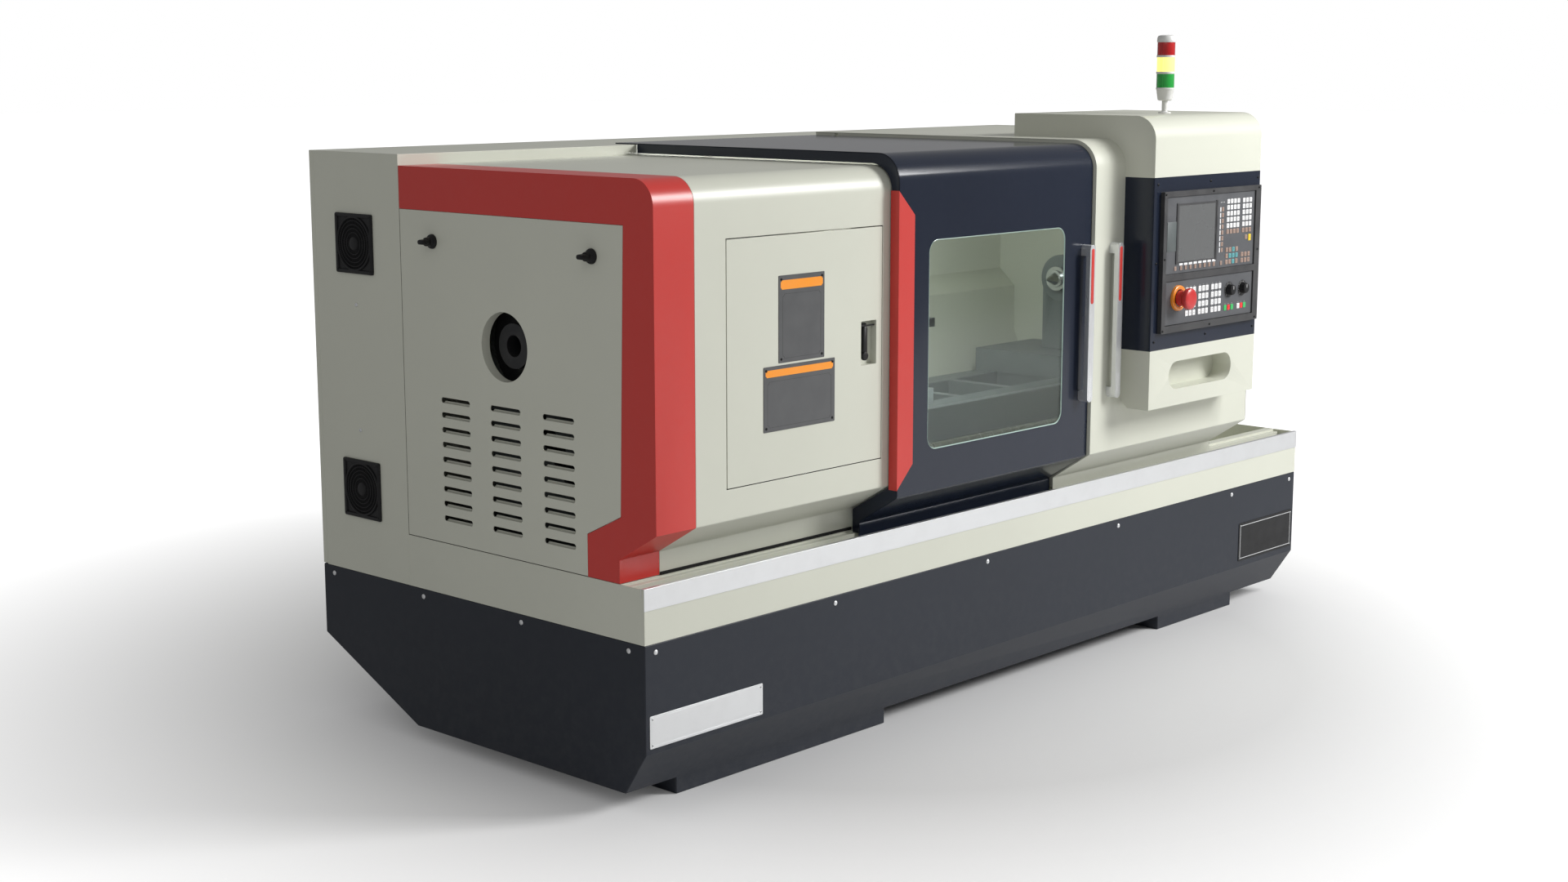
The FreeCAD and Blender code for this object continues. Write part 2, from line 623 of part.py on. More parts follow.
def make_carriage():
    x0, x1 = carriage_x
    y0, y1 = bed_y
    low = bed_top + slide_gap
    saddle = block(x0, x1, y0 - 75, y1 + 10, low, low + 62)
    ridge_y = y0 + way_width / 2
    v = vee + slide_gap + 0.4
    groove = prism_x([(ridge_y - v - 2, low - 1), (ridge_y, bed_top + v + 0.6), (ridge_y + v + 2, low - 1)],
                     x0 - 1, x1 + 1)
    saddle = saddle.cut(groove)
    sy, sz = screw_at
    apron = block(x0, x1, sy - 37, y0 - 0.5, sz - 50, low + 5)
    body = join([saddle, apron]).cut(rod(x0 - 1, x1 + 1, sy, sz, screw_radius + slide_gap))
    dovetail = prism_y_track(x0 + 45, x1 - 45, low + 62)
    parts["carriage"] = join([body, dovetail])
    slide_z = low + 62 + slide_gap
    top = block(x0 + 20, x1 - 20, 110, 400, slide_z, slide_z + 42)
    groove = block(x0 + 45 - slide_gap, x1 - 45 + slide_gap, 109, 401, slide_z - 1, low + 62 + 16.3)
    ty, tx = 215.0, (x0 + x1) / 2
    tz = slide_z + 42 + slide_gap
    up = Vector(0, 0, 1)
    pivot = Part.makeCylinder(pivot_radius, 60, Vector(tx, ty, tz - 20), up)
    parts["cross_slide"] = join([top.cut(groove), pivot])
    post = block(tx - 80, tx + 80, ty - 80, ty + 80, tz, axis_z + 28)
    post = post.cut(Part.makeCylinder(pivot_radius + run_gap, 42, Vector(tx, ty, tz - 1), up))
    nut = Part.makeCylinder(24, 26, Vector(tx, ty, axis_z + 28), up)
    lever = rod(tx, tx + 95, ty, axis_z + 46, 8)
    post = join([post, nut, lever])
    bars = []
    for side in range(4):
        notch = block(tx - 81, tx + 81, ty + 56, ty + 81, axis_z - 30, axis_z + 2)
        notch.rotate(Vector(tx, ty, 0), Vector(0, 0, 1), 90 * side)
        post = post.cut(notch)
        bar = block(tx - 118, tx + 48, ty + 56, ty + 80, axis_z - 30, axis_z - 6)
        bar.rotate(Vector(tx, ty, 0), Vector(0, 0, 1), 90 * side)
        bars.append(bar)
    parts["tool_post"] = post
    parts["turning_tools"] = group(bars)


def prism_y_track(x0, x1, z):
    """The saddle's raised track, on which the cross slide runs."""
    return block(x0, x1, bed_y[0] - 75, bed_y[1] + 10, z - 1, z + 16)


quill_radius = 37.5


def make_tailstock():
    x0, x1 = tail_x
    y0, y1 = bed_y
    low = bed_top + slide_gap
    base = block(x0, x1, y0, y1, low, low + 70)
    ridge_y = y0 + way_width / 2
    v = vee + slide_gap + 0.4
    base = base.cut(prism_x([(ridge_y - v - 2, low - 1), (ridge_y, bed_top + v + 0.6),
                             (ridge_y + v + 2, low - 1)], x0 - 1, x1 + 1))
    web = block(x0 + 150, x1 - 10, axis_y - 72, axis_y + 72, low + 60, axis_z)
    barrel = rod(x0 + 140, x1 - 10, axis_y, axis_z, 72)
    body = join([base, web, barrel]).cut(rod(x0, x1 + 1, axis_y, axis_z, quill_radius + run_gap))
    parts["tailstock"] = body
    quill = rod(x0 + 116, x1 - 30, axis_y, axis_z, quill_radius)
    nose = Part.makeCone(20, 1.5, 46, Vector(x0 + 112, axis_y, axis_z), Vector(-1, 0, 0))
    collar = rod(x0 + 108, x0 + 118, axis_y, axis_z, 26)
    parts["tailstock_quill"] = join([quill, nose, collar])
    wheel = tube(x1 + 6, x1 + 20, axis_y, axis_z, 88, 74)
    hub = rod(x1 + 2, x1 + 22, axis_y, axis_z, 20)
    cap = rod(x1 - 10 + seat_gap, x1 + 4, axis_y, axis_z, 60)
    bars = [block(x1 + 8, x1 + 18, axis_y - 8, axis_y + 8, axis_z, axis_z + 78) for _ in range(3)]
    for k, bar in enumerate(bars):
        bar.rotate(Vector(0, axis_y, axis_z), Vector(1, 0, 0), 120 * k)
    parts["handwheel"] = join([wheel, hub, cap] + bars)


def make_guards():
    x0, x1 = cover_end + 2, 2432.0
    z_low = sill_top + seam
    y = cabinet_front
    points = [(y - 10, cover_top - 14), (y - 10, 1049), (y - 70, 995), (y - 70, 852), (y - 110, 770),
              (y - 110, base_top + sheet)]
    outer = points + [(y - 110 + sheet, base_top + sheet), (y - 110 + sheet, 769), (y - 70 + sheet, 851),
                      (y - 70 + sheet, 994), (y - 10 + sheet, 1048), (y - 10 + sheet, cover_top - 14)]
    shelf = block(x0, x1, y - 10, y, cover_top - 17, cover_top - 14)
    parts["back_guard"] = join([prism_x(outer, x0, x1), shelf])
    inner = cowl(cover_shape(), 0, x1 + 1, x1 + 1 + sheet, z_low, cabinet_front)
    sy, sz = screw_at
    inner = inner.cut(block(x1, x1 + 9, sy - 56, sy + 56, sz - 56, sz + 56))
    inner = inner.cut(block(x1, x1 + 9, sill_y[1] + 5, cabinet_front, 0, sill_top + seam + 6))
    parts["right_guard"] = inner


rivet_inset = 34.0
rivet_pitch = 621.0
rivet_z = 389.5
end_rivet_ys = (53.0, 430.0, 807.0, 1184.0)
data_plate = (12.7, 390.0, 162.0, 240.0)
badge_plate = (2568.0, 2889.0, 167.0, 289.0)
sign_plates = ((402.5, 563.0, 1022.5, 1228.5), (350.5, 601.0, 862.3, 1017.4))
plate_thick = 1.5


def make_small_parts():
    rivets = []
    xs = [rivet_inset + rivet_pitch * k for k in range(5)] + [length - rivet_inset]
    for x in xs:
        rivets.append(Part.makeCylinder(6, 3, Vector(x, -3, rivet_z), Vector(0, 1, 0)))
    for y in end_rivet_ys:
        rivets.append(rod(-3, 0, y, rivet_z, 6))
    rounded = []
    for r in rivets:
        outer = [e for e in r.Edges if min(e.CenterOfMass.x, e.CenterOfMass.y) < -2.9]
        rounded.append(r.makeFillet(2, outer))
    parts["base_rivets"] = group(rounded)
    x0, x1, z0, z1 = data_plate
    data = plate_y(x0, x1, z0, z1, -plate_thick, 0, 3)
    x0, x1, z0, z1 = badge_plate
    parts["name_plates"] = group([data, plate_y(x0, x1, z0, z1, -plate_thick, 0, 6)])
    signs = [plate_y(a, b, c, d, cover_face - plate_thick, cover_face, 2)
             for a, b, c, d in sign_plates]
    parts["sign_plates"] = group(signs)


def export_all():
    os.makedirs("parts", exist_ok=True)
    for name in os.listdir("parts"):
        os.remove(os.path.join("parts", name))
    whole = Part.makeCompound(list(parts.values())).BoundBox
    shift = Vector(-(whole.XMin + whole.XMax) / 2, -(whole.YMin + whole.YMax) / 2, -whole.ZMin)
    for name, shape in sorted(parts.items()):
        moved = shape.copy()
        moved.translate(shift)
        if not moved.isValid():
            print("not valid:", name)
        moved.exportStep("parts/%s.step" % name)
    print("nodes", len(parts), "shift", tuple(round(v, 3) for v in shift))


def main():
    make_base()
    make_tray()
    make_sill()
    make_cover()
    make_access_door()
    make_end_frame()
    make_end_knobs()
    make_cabinet()
    make_fans()
    make_left_leaf()
    make_trim()
    make_right_leaf()
    make_console()
    make_panels()
    make_beacon()
    make_bed()
    make_headstock()
    make_spindle()
    make_drive()
    make_feed()
    make_carriage()
    make_tailstock()
    make_guards()
    make_small_parts()
    export_all()


main()
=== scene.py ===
import bmesh
import bpy
import json
import math
import numpy as np
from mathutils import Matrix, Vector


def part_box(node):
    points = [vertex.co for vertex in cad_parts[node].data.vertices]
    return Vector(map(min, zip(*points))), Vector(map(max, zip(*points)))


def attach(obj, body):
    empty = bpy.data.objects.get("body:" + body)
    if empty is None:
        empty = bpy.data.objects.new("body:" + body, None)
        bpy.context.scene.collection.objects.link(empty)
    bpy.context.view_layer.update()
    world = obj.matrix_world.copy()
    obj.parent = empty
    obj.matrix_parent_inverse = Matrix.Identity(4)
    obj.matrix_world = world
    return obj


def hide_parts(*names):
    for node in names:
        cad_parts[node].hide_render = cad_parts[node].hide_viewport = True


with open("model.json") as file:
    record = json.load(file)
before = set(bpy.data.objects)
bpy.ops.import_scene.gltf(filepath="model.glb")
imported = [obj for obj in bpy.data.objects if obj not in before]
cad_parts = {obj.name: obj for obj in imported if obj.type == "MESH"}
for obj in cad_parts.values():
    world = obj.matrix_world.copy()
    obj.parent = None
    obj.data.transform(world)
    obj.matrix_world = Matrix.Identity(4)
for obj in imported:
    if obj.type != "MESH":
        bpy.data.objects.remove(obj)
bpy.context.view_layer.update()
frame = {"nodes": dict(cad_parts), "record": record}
record = frame["record"]
bodyOf = {node: body for body, nodes in record["behaviour"]["bodies"].items() for node in nodes}

# lengths below are millimetres from the plinth's front left corner, on the floor
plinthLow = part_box("base_frame")[0]
corner = np.array([plinthLow[0], plinthLow[1], 0.0])


def toMetres(points):
    return np.asarray(points, float) * 0.001 + corner


def boxOf(node):
    low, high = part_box(node)
    return (np.array(low) - corner) * 1000.0, (np.array(high) - corner) * 1000.0


facings = {
    "front": ((1, 0, 0), (0, 0, 1), (0, -1, 0)),
    "back": ((-1, 0, 0), (0, 0, 1), (0, 1, 0)),
    "left": ((0, -1, 0), (0, 0, 1), (-1, 0, 0)),
    "right": ((0, 1, 0), (0, 0, 1), (1, 0, 0)),
    "top": ((1, 0, 0), (0, 1, 0), (0, 0, 1)),
}


def onFace(points, rise, centre, facing):
    # point = centre + across * p + upward * q + outward * rise
    across, upward, outward = (np.array(v, float) for v in facings[facing])
    points = np.asarray(points, float)
    return (np.array(centre, float) + points[..., :1] * across + points[..., 1:2] * upward
            + np.asarray(rise, float)[..., None] * outward)


def gridFaces(rows, columns, closedAround):
    # quad (i, j) joins grid points (i, j), (i, j+1), (i+1, j+1), (i+1, j)
    i, j = np.meshgrid(np.arange(rows - 1), np.arange(columns if closedAround else columns - 1), indexing="ij")
    k = (j + 1) % columns
    return np.stack([i * columns + j, i * columns + k, (i + 1) * columns + k, (i + 1) * columns + j],
                    -1).reshape(-1, 4)


def ringStack(rings, capped=True):
    # closed rings one above another, each joined to the next, with flat ends
    rings = np.asarray(rings, float)
    rows, columns = rings.shape[:2]
    faces = gridFaces(rows, columns, True).tolist()
    if capped:
        faces.append(list(range(columns))[::-1])
        faces.append(list(range((rows - 1) * columns, rows * columns)))
    return rings.reshape(-1, 3), faces


def combined(parts):
    points, faces, start = [], [], 0
    for some, theirs in parts:
        points.append(some)
        faces.extend([[v + start for v in face] for face in theirs])
        start += len(some)
    return np.concatenate(points), faces


def roundedOutline(width, height, radius, steps=6):
    # four quarter circles on the corners of a smaller rectangle, anticlockwise
    radius = max(min(radius, width / 2, height / 2), 0.01)
    quarter = np.linspace(0, math.pi / 2, steps + 1)[None, :] + np.arange(4)[:, None] * math.pi / 2
    middles = np.array([[1, 1], [-1, 1], [-1, -1], [1, -1]]) * np.array([width / 2 - radius, height / 2 - radius])
    points = middles[:, None, :] + radius * np.stack([np.cos(quarter), np.sin(quarter)], -1)
    return points.reshape(-1, 2)


def closedStack(rings):
    # rings joined as above, and the last one to the first, which leaves the middle open
    points, faces = ringStack(rings, capped=False)
    columns = len(rings[0])
    j = np.arange(columns)
    k = (j + 1) % columns
    last = (len(rings) - 1) * columns
    return points, faces + np.stack([last + j, last + k, k, j], -1).tolist()


def insetRings(centre, width, height, radius, facing, profile, steps):
    # a rounded rectangle for each (inset, rise) of the profile, from back to front
    return [onFace(roundedOutline(width - 2 * a, height - 2 * a, max(radius - a, 0.02), steps),
                   np.full(4 * (steps + 1), float(b)), centre, facing) for a, b in profile]


def slab(centre, width, height, radius, facing, profile, steps=6):
    return ringStack(insetRings(centre, width, height, radius, facing, profile, steps))


def hoop(centre, width, height, radius, facing, profile, steps=6):
    return closedStack(insetRings(centre, width, height, radius, facing, profile, steps))


def circleRings(centre, facing, profile, count):
    # a circle for each (radius, rise) of the profile
    angle = np.linspace(0, 2 * math.pi, count, endpoint=False)
    circle = np.stack([np.cos(angle), np.sin(angle)], -1)
    return [onFace(circle * max(r, 0.01), np.full(count, float(h)), centre, facing) for r, h in profile]


def turned(centre, facing, profile, count=40):
    return ringStack(circleRings(centre, facing, profile, count))


def turnedRing(centre, facing, profile, count=64):
    return closedStack(circleRings(centre, facing, profile, count))


def roundedPath(corners, steps=16):
    # each corner (y, z, radius) becomes an arc that touches both neighbouring lines
    corners = [np.array(c, float) for c in corners]
    path = []
    for k, c in enumerate(corners):
        here, radius = c[:2], c[2]
        if radius == 0 or k in (0, len(corners) - 1):
            path.append(here[None])
            continue
        back = corners[k - 1][:2] - here
        ahead = corners[k + 1][:2] - here
        back, ahead = back / np.linalg.norm(back), ahead / np.linalg.norm(ahead)
        half = math.acos(np.clip(back @ ahead, -1, 1)) / 2
        middle = here + (back + ahead) / np.linalg.norm(back + ahead) * radius / math.sin(half)
        first = here + back * radius / math.tan(half) - middle
        last = here + ahead * radius / math.tan(half) - middle
        begin = math.atan2(first[1], first[0])
        sweep = (math.atan2(last[1], last[0]) - begin + math.pi) % (2 * math.pi) - math.pi
        angle = begin + sweep * np.linspace(0, 1, steps + 1)
        path.append(middle + radius * np.stack([np.cos(angle), np.sin(angle)], -1))
    return np.concatenate(path)


def besidePath(path, distance):
    # every point moved to the left of the path, further where the path bends
    step = np.diff(path, axis=0)
    step /= np.linalg.norm(step, axis=1)[:, None]
    before, after = np.vstack([step[:1], step]), np.vstack([step, step[-1:]])
    left = np.stack([-(before + after)[:, 1], (before + after)[:, 0]], -1)
    left /= np.linalg.norm(left, axis=1)[:, None]
    normal = np.stack([-before[:, 1], before[:, 0]], -1)
    return path + left * (distance / np.clip((left * normal).sum(1), 0.3, 1))[:, None]


def alongX(outline, x0, x1):
    # a closed YZ outline carried from x0 to x1
    rings = [np.column_stack([np.full(len(outline), x), outline]) for x in (x0, x1)]
    return ringStack(rings)


def foldedSheet(path, thick, x0, x1):
    return alongX(np.vstack([path, besidePath(path, thick)[::-1]]), x0, x1)


def block(x0, x1, y0, y1, z0, z1):
    outline = np.array([[y0, z0], [y1, z0], [y1, z1], [y0, z1]], float)
    return alongX(outline, x0, x1)


sharpAngle = 35
sheetThick = 3.0


def meshOf(name, shape):
    points, faces = shape
    mesh = bpy.data.meshes.new(name)
    mesh.from_pydata(toMetres(points).tolist(), [], faces)
    work = bmesh.new()
    work.from_mesh(mesh)
    bmesh.ops.remove_doubles(work, verts=work.verts, dist=1e-6)
    bmesh.ops.dissolve_degenerate(work, edges=work.edges, dist=1e-7)
    bmesh.ops.recalc_face_normals(work, faces=work.faces)
    work.to_mesh(mesh)
    work.free()
    return mesh


def dressed(piece, material, bevel=0.0, segments=2, angle=sharpAngle):
    mesh = piece.data
    mesh.materials.clear()
    mesh.materials.append(material)
    mesh.polygons.foreach_set("use_smooth", np.ones(len(mesh.polygons), bool))
    mesh.set_sharp_from_angle(angle=math.radians(angle))
    if bevel:
        rounding = piece.modifiers.new("roundedEdges", "BEVEL")
        rounding.width = bevel * 0.001
        rounding.segments = segments
        rounding.limit_method = "ANGLE"
        rounding.angle_limit = math.radians(angle)
        rounding.harden_normals = True
        rounding.use_clamp_overlap = True
    return piece


def makePiece(name, shape, body, material, bevel=0.0, segments=2, angle=sharpAngle, stands=()):
    piece = bpy.data.objects.new(name, meshOf(name, shape))
    bpy.context.scene.collection.objects.link(piece)
    dressed(piece, material, bevel, segments, angle)
    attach(piece, body)
    if stands:
        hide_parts(*stands)
    return piece


def cutAway(piece, *shapes):
    # takes other shapes out of a piece for good, before its edges are rounded
    rounding = [m for m in piece.modifiers if m.type == "BEVEL"]
    for m in rounding:
        m.show_viewport = False
    for shape in shapes:
        tool = bpy.data.objects.new("cutter", meshOf("cutter", shape))
        bpy.context.scene.collection.objects.link(tool)
        taking = piece.modifiers.new("taking", "BOOLEAN")
        taking.object, taking.operation, taking.solver = tool, "DIFFERENCE", "EXACT"
        bpy.context.view_layer.update()
        graph = bpy.context.evaluated_depsgraph_get()
        fresh = bpy.data.meshes.new_from_object(piece.evaluated_get(graph))
        piece.modifiers.remove(taking)
        old, piece.data = piece.data, fresh
        fresh.name = piece.name
        bpy.data.meshes.remove(old)
        bpy.data.objects.remove(tool)
    piece.data.polygons.foreach_set("use_smooth", np.ones(len(piece.data.polygons), bool))
    piece.data.set_sharp_from_angle(angle=math.radians(sharpAngle))
    for m in rounding:
        m.show_viewport = True
    return piece


def softened(node, material, bevel=0.8, segments=2, angle=sharpAngle):
    # a copy of a machined node with its edges broken, as they are on the real piece
    work = bmesh.new()
    work.from_mesh(frame["nodes"][node].data)
    bmesh.ops.remove_doubles(work, verts=work.verts, dist=2e-6)
    bmesh.ops.dissolve_limit(work, angle_limit=math.radians(0.4), verts=work.verts, edges=work.edges)
    mesh = bpy.data.meshes.new(node + "Smooth")
    work.to_mesh(mesh)
    work.free()
    piece = bpy.data.objects.new(node + "Smooth", mesh)
    bpy.context.scene.collection.objects.link(piece)
    dressed(piece, material, bevel, segments, angle)
    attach(piece, bodyOf[node])
    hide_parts(node)
    return piece


print("helpers ready")


def newGroup(name, inputs, outputs):
    group = bpy.data.node_groups.new(name, "ShaderNodeTree")
    for label, kind, value in inputs:
        socket = group.interface.new_socket(name=label, in_out="INPUT", socket_type=kind)
        socket.default_value = value
    for label, kind in outputs:
        group.interface.new_socket(name=label, in_out="OUTPUT", socket_type=kind)
    return group, group.nodes.new("NodeGroupInput"), group.nodes.new("NodeGroupOutput")


def addNode(tree, kind, **settings):
    node = tree.nodes.new(kind)
    for key, value in settings.items():
        if key in node.inputs:
            node.inputs[key].default_value = value
        else:
            setattr(node, key, value)
    return node


def mixColour(tree, factor, first, second, blend="MIX"):
    # factor, first and second are sockets or plain values
    mix = tree.nodes.new("ShaderNodeMix")
    mix.data_type, mix.blend_type = "RGBA", blend
    for index, source in ((0, factor), (6, first), (7, second)):
        if isinstance(source, bpy.types.NodeSocket):
            tree.links.new(source, mix.inputs[index])
        else:
            mix.inputs[index].default_value = source
    return mix.outputs[2]


def span(tree, source, low, high, first, last):
    ramp = addNode(tree, "ShaderNodeMapRange")
    tree.links.new(source, ramp.inputs[0])
    for index, value in enumerate((low, high, first, last)):
        ramp.inputs[index + 1].default_value = value
    return ramp.outputs[0]


def times(tree, a, b):
    node = tree.nodes.new("ShaderNodeMath")
    node.operation = "MULTIPLY"
    for index, source in ((0, a), (1, b)):
        if isinstance(source, bpy.types.NodeSocket):
            tree.links.new(source, node.inputs[index])
        else:
            node.inputs[index].default_value = source
    return node.outputs[0]


def buildPaintSkin():
    # sprayed paint: soft cloudiness, orange peel, a thin settled dust that thickens near the floor
    group, start, end = newGroup("paintSkin", [("Colour", "NodeSocketColor", (0.5, 0.5, 0.5, 1)),
                                               ("Cloud", "NodeSocketFloat", 0.05),
                                               ("Dust Amount", "NodeSocketFloat", 0.1),
                                               ("Peel", "NodeSocketFloat", 0.05)],
                                 [("Colour", "NodeSocketColor"), ("Dull", "NodeSocketFloat"),
                                  ("Normal", "NodeSocketVector")])
    link = group.links.new
    place = addNode(group, "ShaderNodeTexCoord")
    cloud = addNode(group, "ShaderNodeTexNoise", Scale=2.3, Detail=4.0, Roughness=0.55)
    link(place.outputs["Object"], cloud.inputs["Vector"])
    shade = span(group, cloud.outputs[0], 0.3, 0.7, -1.0, 1.0)
    tint = addNode(group, "ShaderNodeHueSaturation")
    lift = addNode(group, "ShaderNodeMath", operation="MULTIPLY_ADD")
    link(shade, lift.inputs[0])
    link(start.outputs["Cloud"], lift.inputs[1])
    lift.inputs[2].default_value = 1.0
    link(lift.outputs[0], tint.inputs["Value"])
    link(start.outputs["Colour"], tint.inputs["Color"])
    parts = addNode(group, "ShaderNodeSeparateXYZ")
    link(place.outputs["Object"], parts.inputs[0])
    low = span(group, parts.outputs[2], 0.0, 0.35, 1.0, 0.25)
    speck = addNode(group, "ShaderNodeTexNoise", Scale=38.0, Detail=6.0, Roughness=0.7)
    link(place.outputs["Object"], speck.inputs["Vector"])
    dust = times(group, times(group, span(group, speck.outputs[0], 0.42, 0.72, 0.0, 1.0), low),
                 start.outputs["Dust Amount"])
    link(mixColour(group, dust, tint.outputs[0], (0.42, 0.40, 0.36, 1)), end.inputs["Colour"])
    link(dust, end.inputs["Dull"])
    peel = addNode(group, "ShaderNodeTexNoise", Scale=310.0, Detail=2.0, Roughness=0.4)
    link(place.outputs["Object"], peel.inputs["Vector"])
    bump = addNode(group, "ShaderNodeBump", Distance=0.0004)
    link(start.outputs["Peel"], bump.inputs["Strength"])
    link(peel.outputs[0], bump.inputs["Height"])
    link(bump.outputs[0], end.inputs["Normal"])
    return group


def buildMetalGrain():
    # drawn or turned metal: long fine lines that change the gloss and the slope
    group, start, end = newGroup("metalGrain", [("Colour", "NodeSocketColor", (0.6, 0.6, 0.6, 1)),
                                                ("Along", "NodeSocketVector", (4, 300, 300)),
                                                ("Depth", "NodeSocketFloat", 0.2),
                                                ("Tarnish", "NodeSocketFloat", 0.15)],
                                 [("Colour", "NodeSocketColor"), ("Gloss Change", "NodeSocketFloat"),
                                  ("Normal", "NodeSocketVector")])
    link = group.links.new
    place = addNode(group, "ShaderNodeTexCoord")
    stretch = addNode(group, "ShaderNodeVectorMath", operation="MULTIPLY")
    link(place.outputs["Object"], stretch.inputs[0])
    link(start.outputs["Along"], stretch.inputs[1])
    lines = addNode(group, "ShaderNodeTexNoise", Scale=1.0, Detail=3.0, Roughness=0.6)
    link(stretch.outputs[0], lines.inputs["Vector"])
    blotch = addNode(group, "ShaderNodeTexNoise", Scale=14.0, Detail=4.0, Roughness=0.6)
    link(place.outputs["Object"], blotch.inputs["Vector"])
    stain = times(group, span(group, blotch.outputs[0], 0.45, 0.75, 0.0, 1.0), start.outputs["Tarnish"])
    link(mixColour(group, stain, start.outputs["Colour"], (0.16, 0.15, 0.14, 1)), end.inputs["Colour"])
    link(span(group, lines.outputs[0], 0.3, 0.7, 0.0, 1.0), end.inputs["Gloss Change"])
    bump = addNode(group, "ShaderNodeBump", Distance=0.0002)
    link(start.outputs["Depth"], bump.inputs["Strength"])
    link(lines.outputs[0], bump.inputs["Height"])
    link(bump.outputs[0], end.inputs["Normal"])
    return group


def buildPlasticGrain():
    # moulded plastic: pebbled skin and slight shade changes
    group, start, end = newGroup("plasticGrain", [("Colour", "NodeSocketColor", (0.05, 0.05, 0.05, 1)),
                                                  ("Grain Scale", "NodeSocketFloat", 900.0),
                                                  ("Depth", "NodeSocketFloat", 0.15),
                                                  ("Veil", "NodeSocketFloat", 0.25)],
                                 [("Colour", "NodeSocketColor"), ("Gloss Change", "NodeSocketFloat"),
                                  ("Normal", "NodeSocketVector")])
    link = group.links.new
    place = addNode(group, "ShaderNodeTexCoord")
    pebble = addNode(group, "ShaderNodeTexVoronoi")
    link(place.outputs["Object"], pebble.inputs["Vector"])
    link(start.outputs["Grain Scale"], pebble.inputs["Scale"])
    wash = addNode(group, "ShaderNodeTexNoise", Scale=22.0, Detail=3.0)
    link(place.outputs["Object"], wash.inputs["Vector"])
    veil = times(group, span(group, wash.outputs[0], 0.35, 0.75, 0.0, 0.12), start.outputs["Veil"])
    link(mixColour(group, veil, start.outputs["Colour"], (0.5, 0.5, 0.48, 1)), end.inputs["Colour"])
    link(span(group, wash.outputs[0], 0.3, 0.7, 0.0, 1.0), end.inputs["Gloss Change"])
    bump = addNode(group, "ShaderNodeBump", Distance=0.0002)
    link(start.outputs["Depth"], bump.inputs["Strength"])
    link(pebble.outputs[0], bump.inputs["Height"])
    link(bump.outputs[0], end.inputs["Normal"])
    return group


paintSkin, metalGrain, plasticGrain = buildPaintSkin(), buildMetalGrain(), buildPlasticGrain()


def emptyMaterial(name):
    material = bpy.data.materials.new(name)
    material.use_nodes = True
    tree = material.node_tree
    return material, tree, tree.nodes["Principled BSDF"]


def placeGroup(tree, group, **values):
    node = tree.nodes.new("ShaderNodeGroup")
    node.node_tree = group
    for key, value in values.items():
        node.inputs[key].default_value = value
    return node


def paint(name, colour, gloss=0.3, cloud=0.04, dust=0.1, peel=0.05, coat=0.0, shine=0.5):
    material, tree, shader = emptyMaterial(name)
    skin = placeGroup(tree, paintSkin, **{"Colour": (*colour, 1), "Cloud": cloud, "Dust Amount": dust, "Peel": peel})
    tree.links.new(skin.outputs["Colour"], shader.inputs["Base Color"])
    tree.links.new(span(tree, skin.outputs["Dull"], 0.0, 1.0, gloss, 0.85), shader.inputs["Roughness"])
    tree.links.new(skin.outputs["Normal"], shader.inputs["Normal"])
    shader.inputs["Specular IOR Level"].default_value = shine
    shader.inputs["Coat Weight"].default_value = coat
    shader.inputs["Coat Roughness"].default_value = 0.06
    return material


def metal(name, colour, gloss=(0.2, 0.4), along=(4, 300, 300), depth=0.2, tarnish=0.12, metallic=1.0):
    material, tree, shader = emptyMaterial(name)
    grain = placeGroup(tree, metalGrain,
                       **{"Colour": (*colour, 1), "Along": along, "Depth": depth, "Tarnish": tarnish})
    tree.links.new(grain.outputs["Colour"], shader.inputs["Base Color"])
    tree.links.new(span(tree, grain.outputs["Gloss Change"], 0.0, 1.0, *gloss), shader.inputs["Roughness"])
    tree.links.new(grain.outputs["Normal"], shader.inputs["Normal"])
    shader.inputs["Metallic"].default_value = metallic
    return material


def plastic(name, colour, gloss=(0.35, 0.5), scale=900.0, depth=0.15, coat=0.0, veil=0.25, shine=0.5):
    material, tree, shader = emptyMaterial(name)
    grain = placeGroup(tree, plasticGrain,
                       **{"Colour": (*colour, 1), "Grain Scale": scale, "Depth": depth, "Veil": veil})
    tree.links.new(grain.outputs["Colour"], shader.inputs["Base Color"])
    tree.links.new(span(tree, grain.outputs["Gloss Change"], 0.0, 1.0, *gloss), shader.inputs["Roughness"])
    tree.links.new(grain.outputs["Normal"], shader.inputs["Normal"])
    shader.inputs["Specular IOR Level"].default_value = shine
    shader.inputs["Coat Weight"].default_value = coat
    return material


def lens(name, colour, glow=0.0):
    # signal lens with upright ribs: they bend the light, each rib's trough is coloured deeper as painted shade, and
    # a faint glow fills it when lit
    material, tree, shader = emptyMaterial(name)
    place = addNode(tree, "ShaderNodeTexCoord")
    ribs = addNode(tree, "ShaderNodeTexWave", Scale=230.0, wave_type="BANDS", bands_direction="X")
    tree.links.new(place.outputs["Object"], ribs.inputs["Vector"])
    bump = addNode(tree, "ShaderNodeBump", Strength=0.35, Distance=0.0006)
    tree.links.new(ribs.outputs[1], bump.inputs["Height"])
    tree.links.new(bump.outputs[0], shader.inputs["Normal"])
    # painted shade: the lens colour is darkened in every rib's trough
    ribTroughShade = tuple(c * 0.72 for c in colour)
    ribShadedColour = mixColour(tree, ribs.outputs[1], (*ribTroughShade, 1), (*colour, 1))
    tree.links.new(ribShadedColour, shader.inputs["Base Color"])
    shader.inputs["Roughness"].default_value = 0.18
    shader.inputs["Coat Weight"].default_value = 0.5
    if glow:
        tree.links.new(ribShadedColour, shader.inputs["Emission Color"])
        shader.inputs["Emission Strength"].default_value = glow
    return material


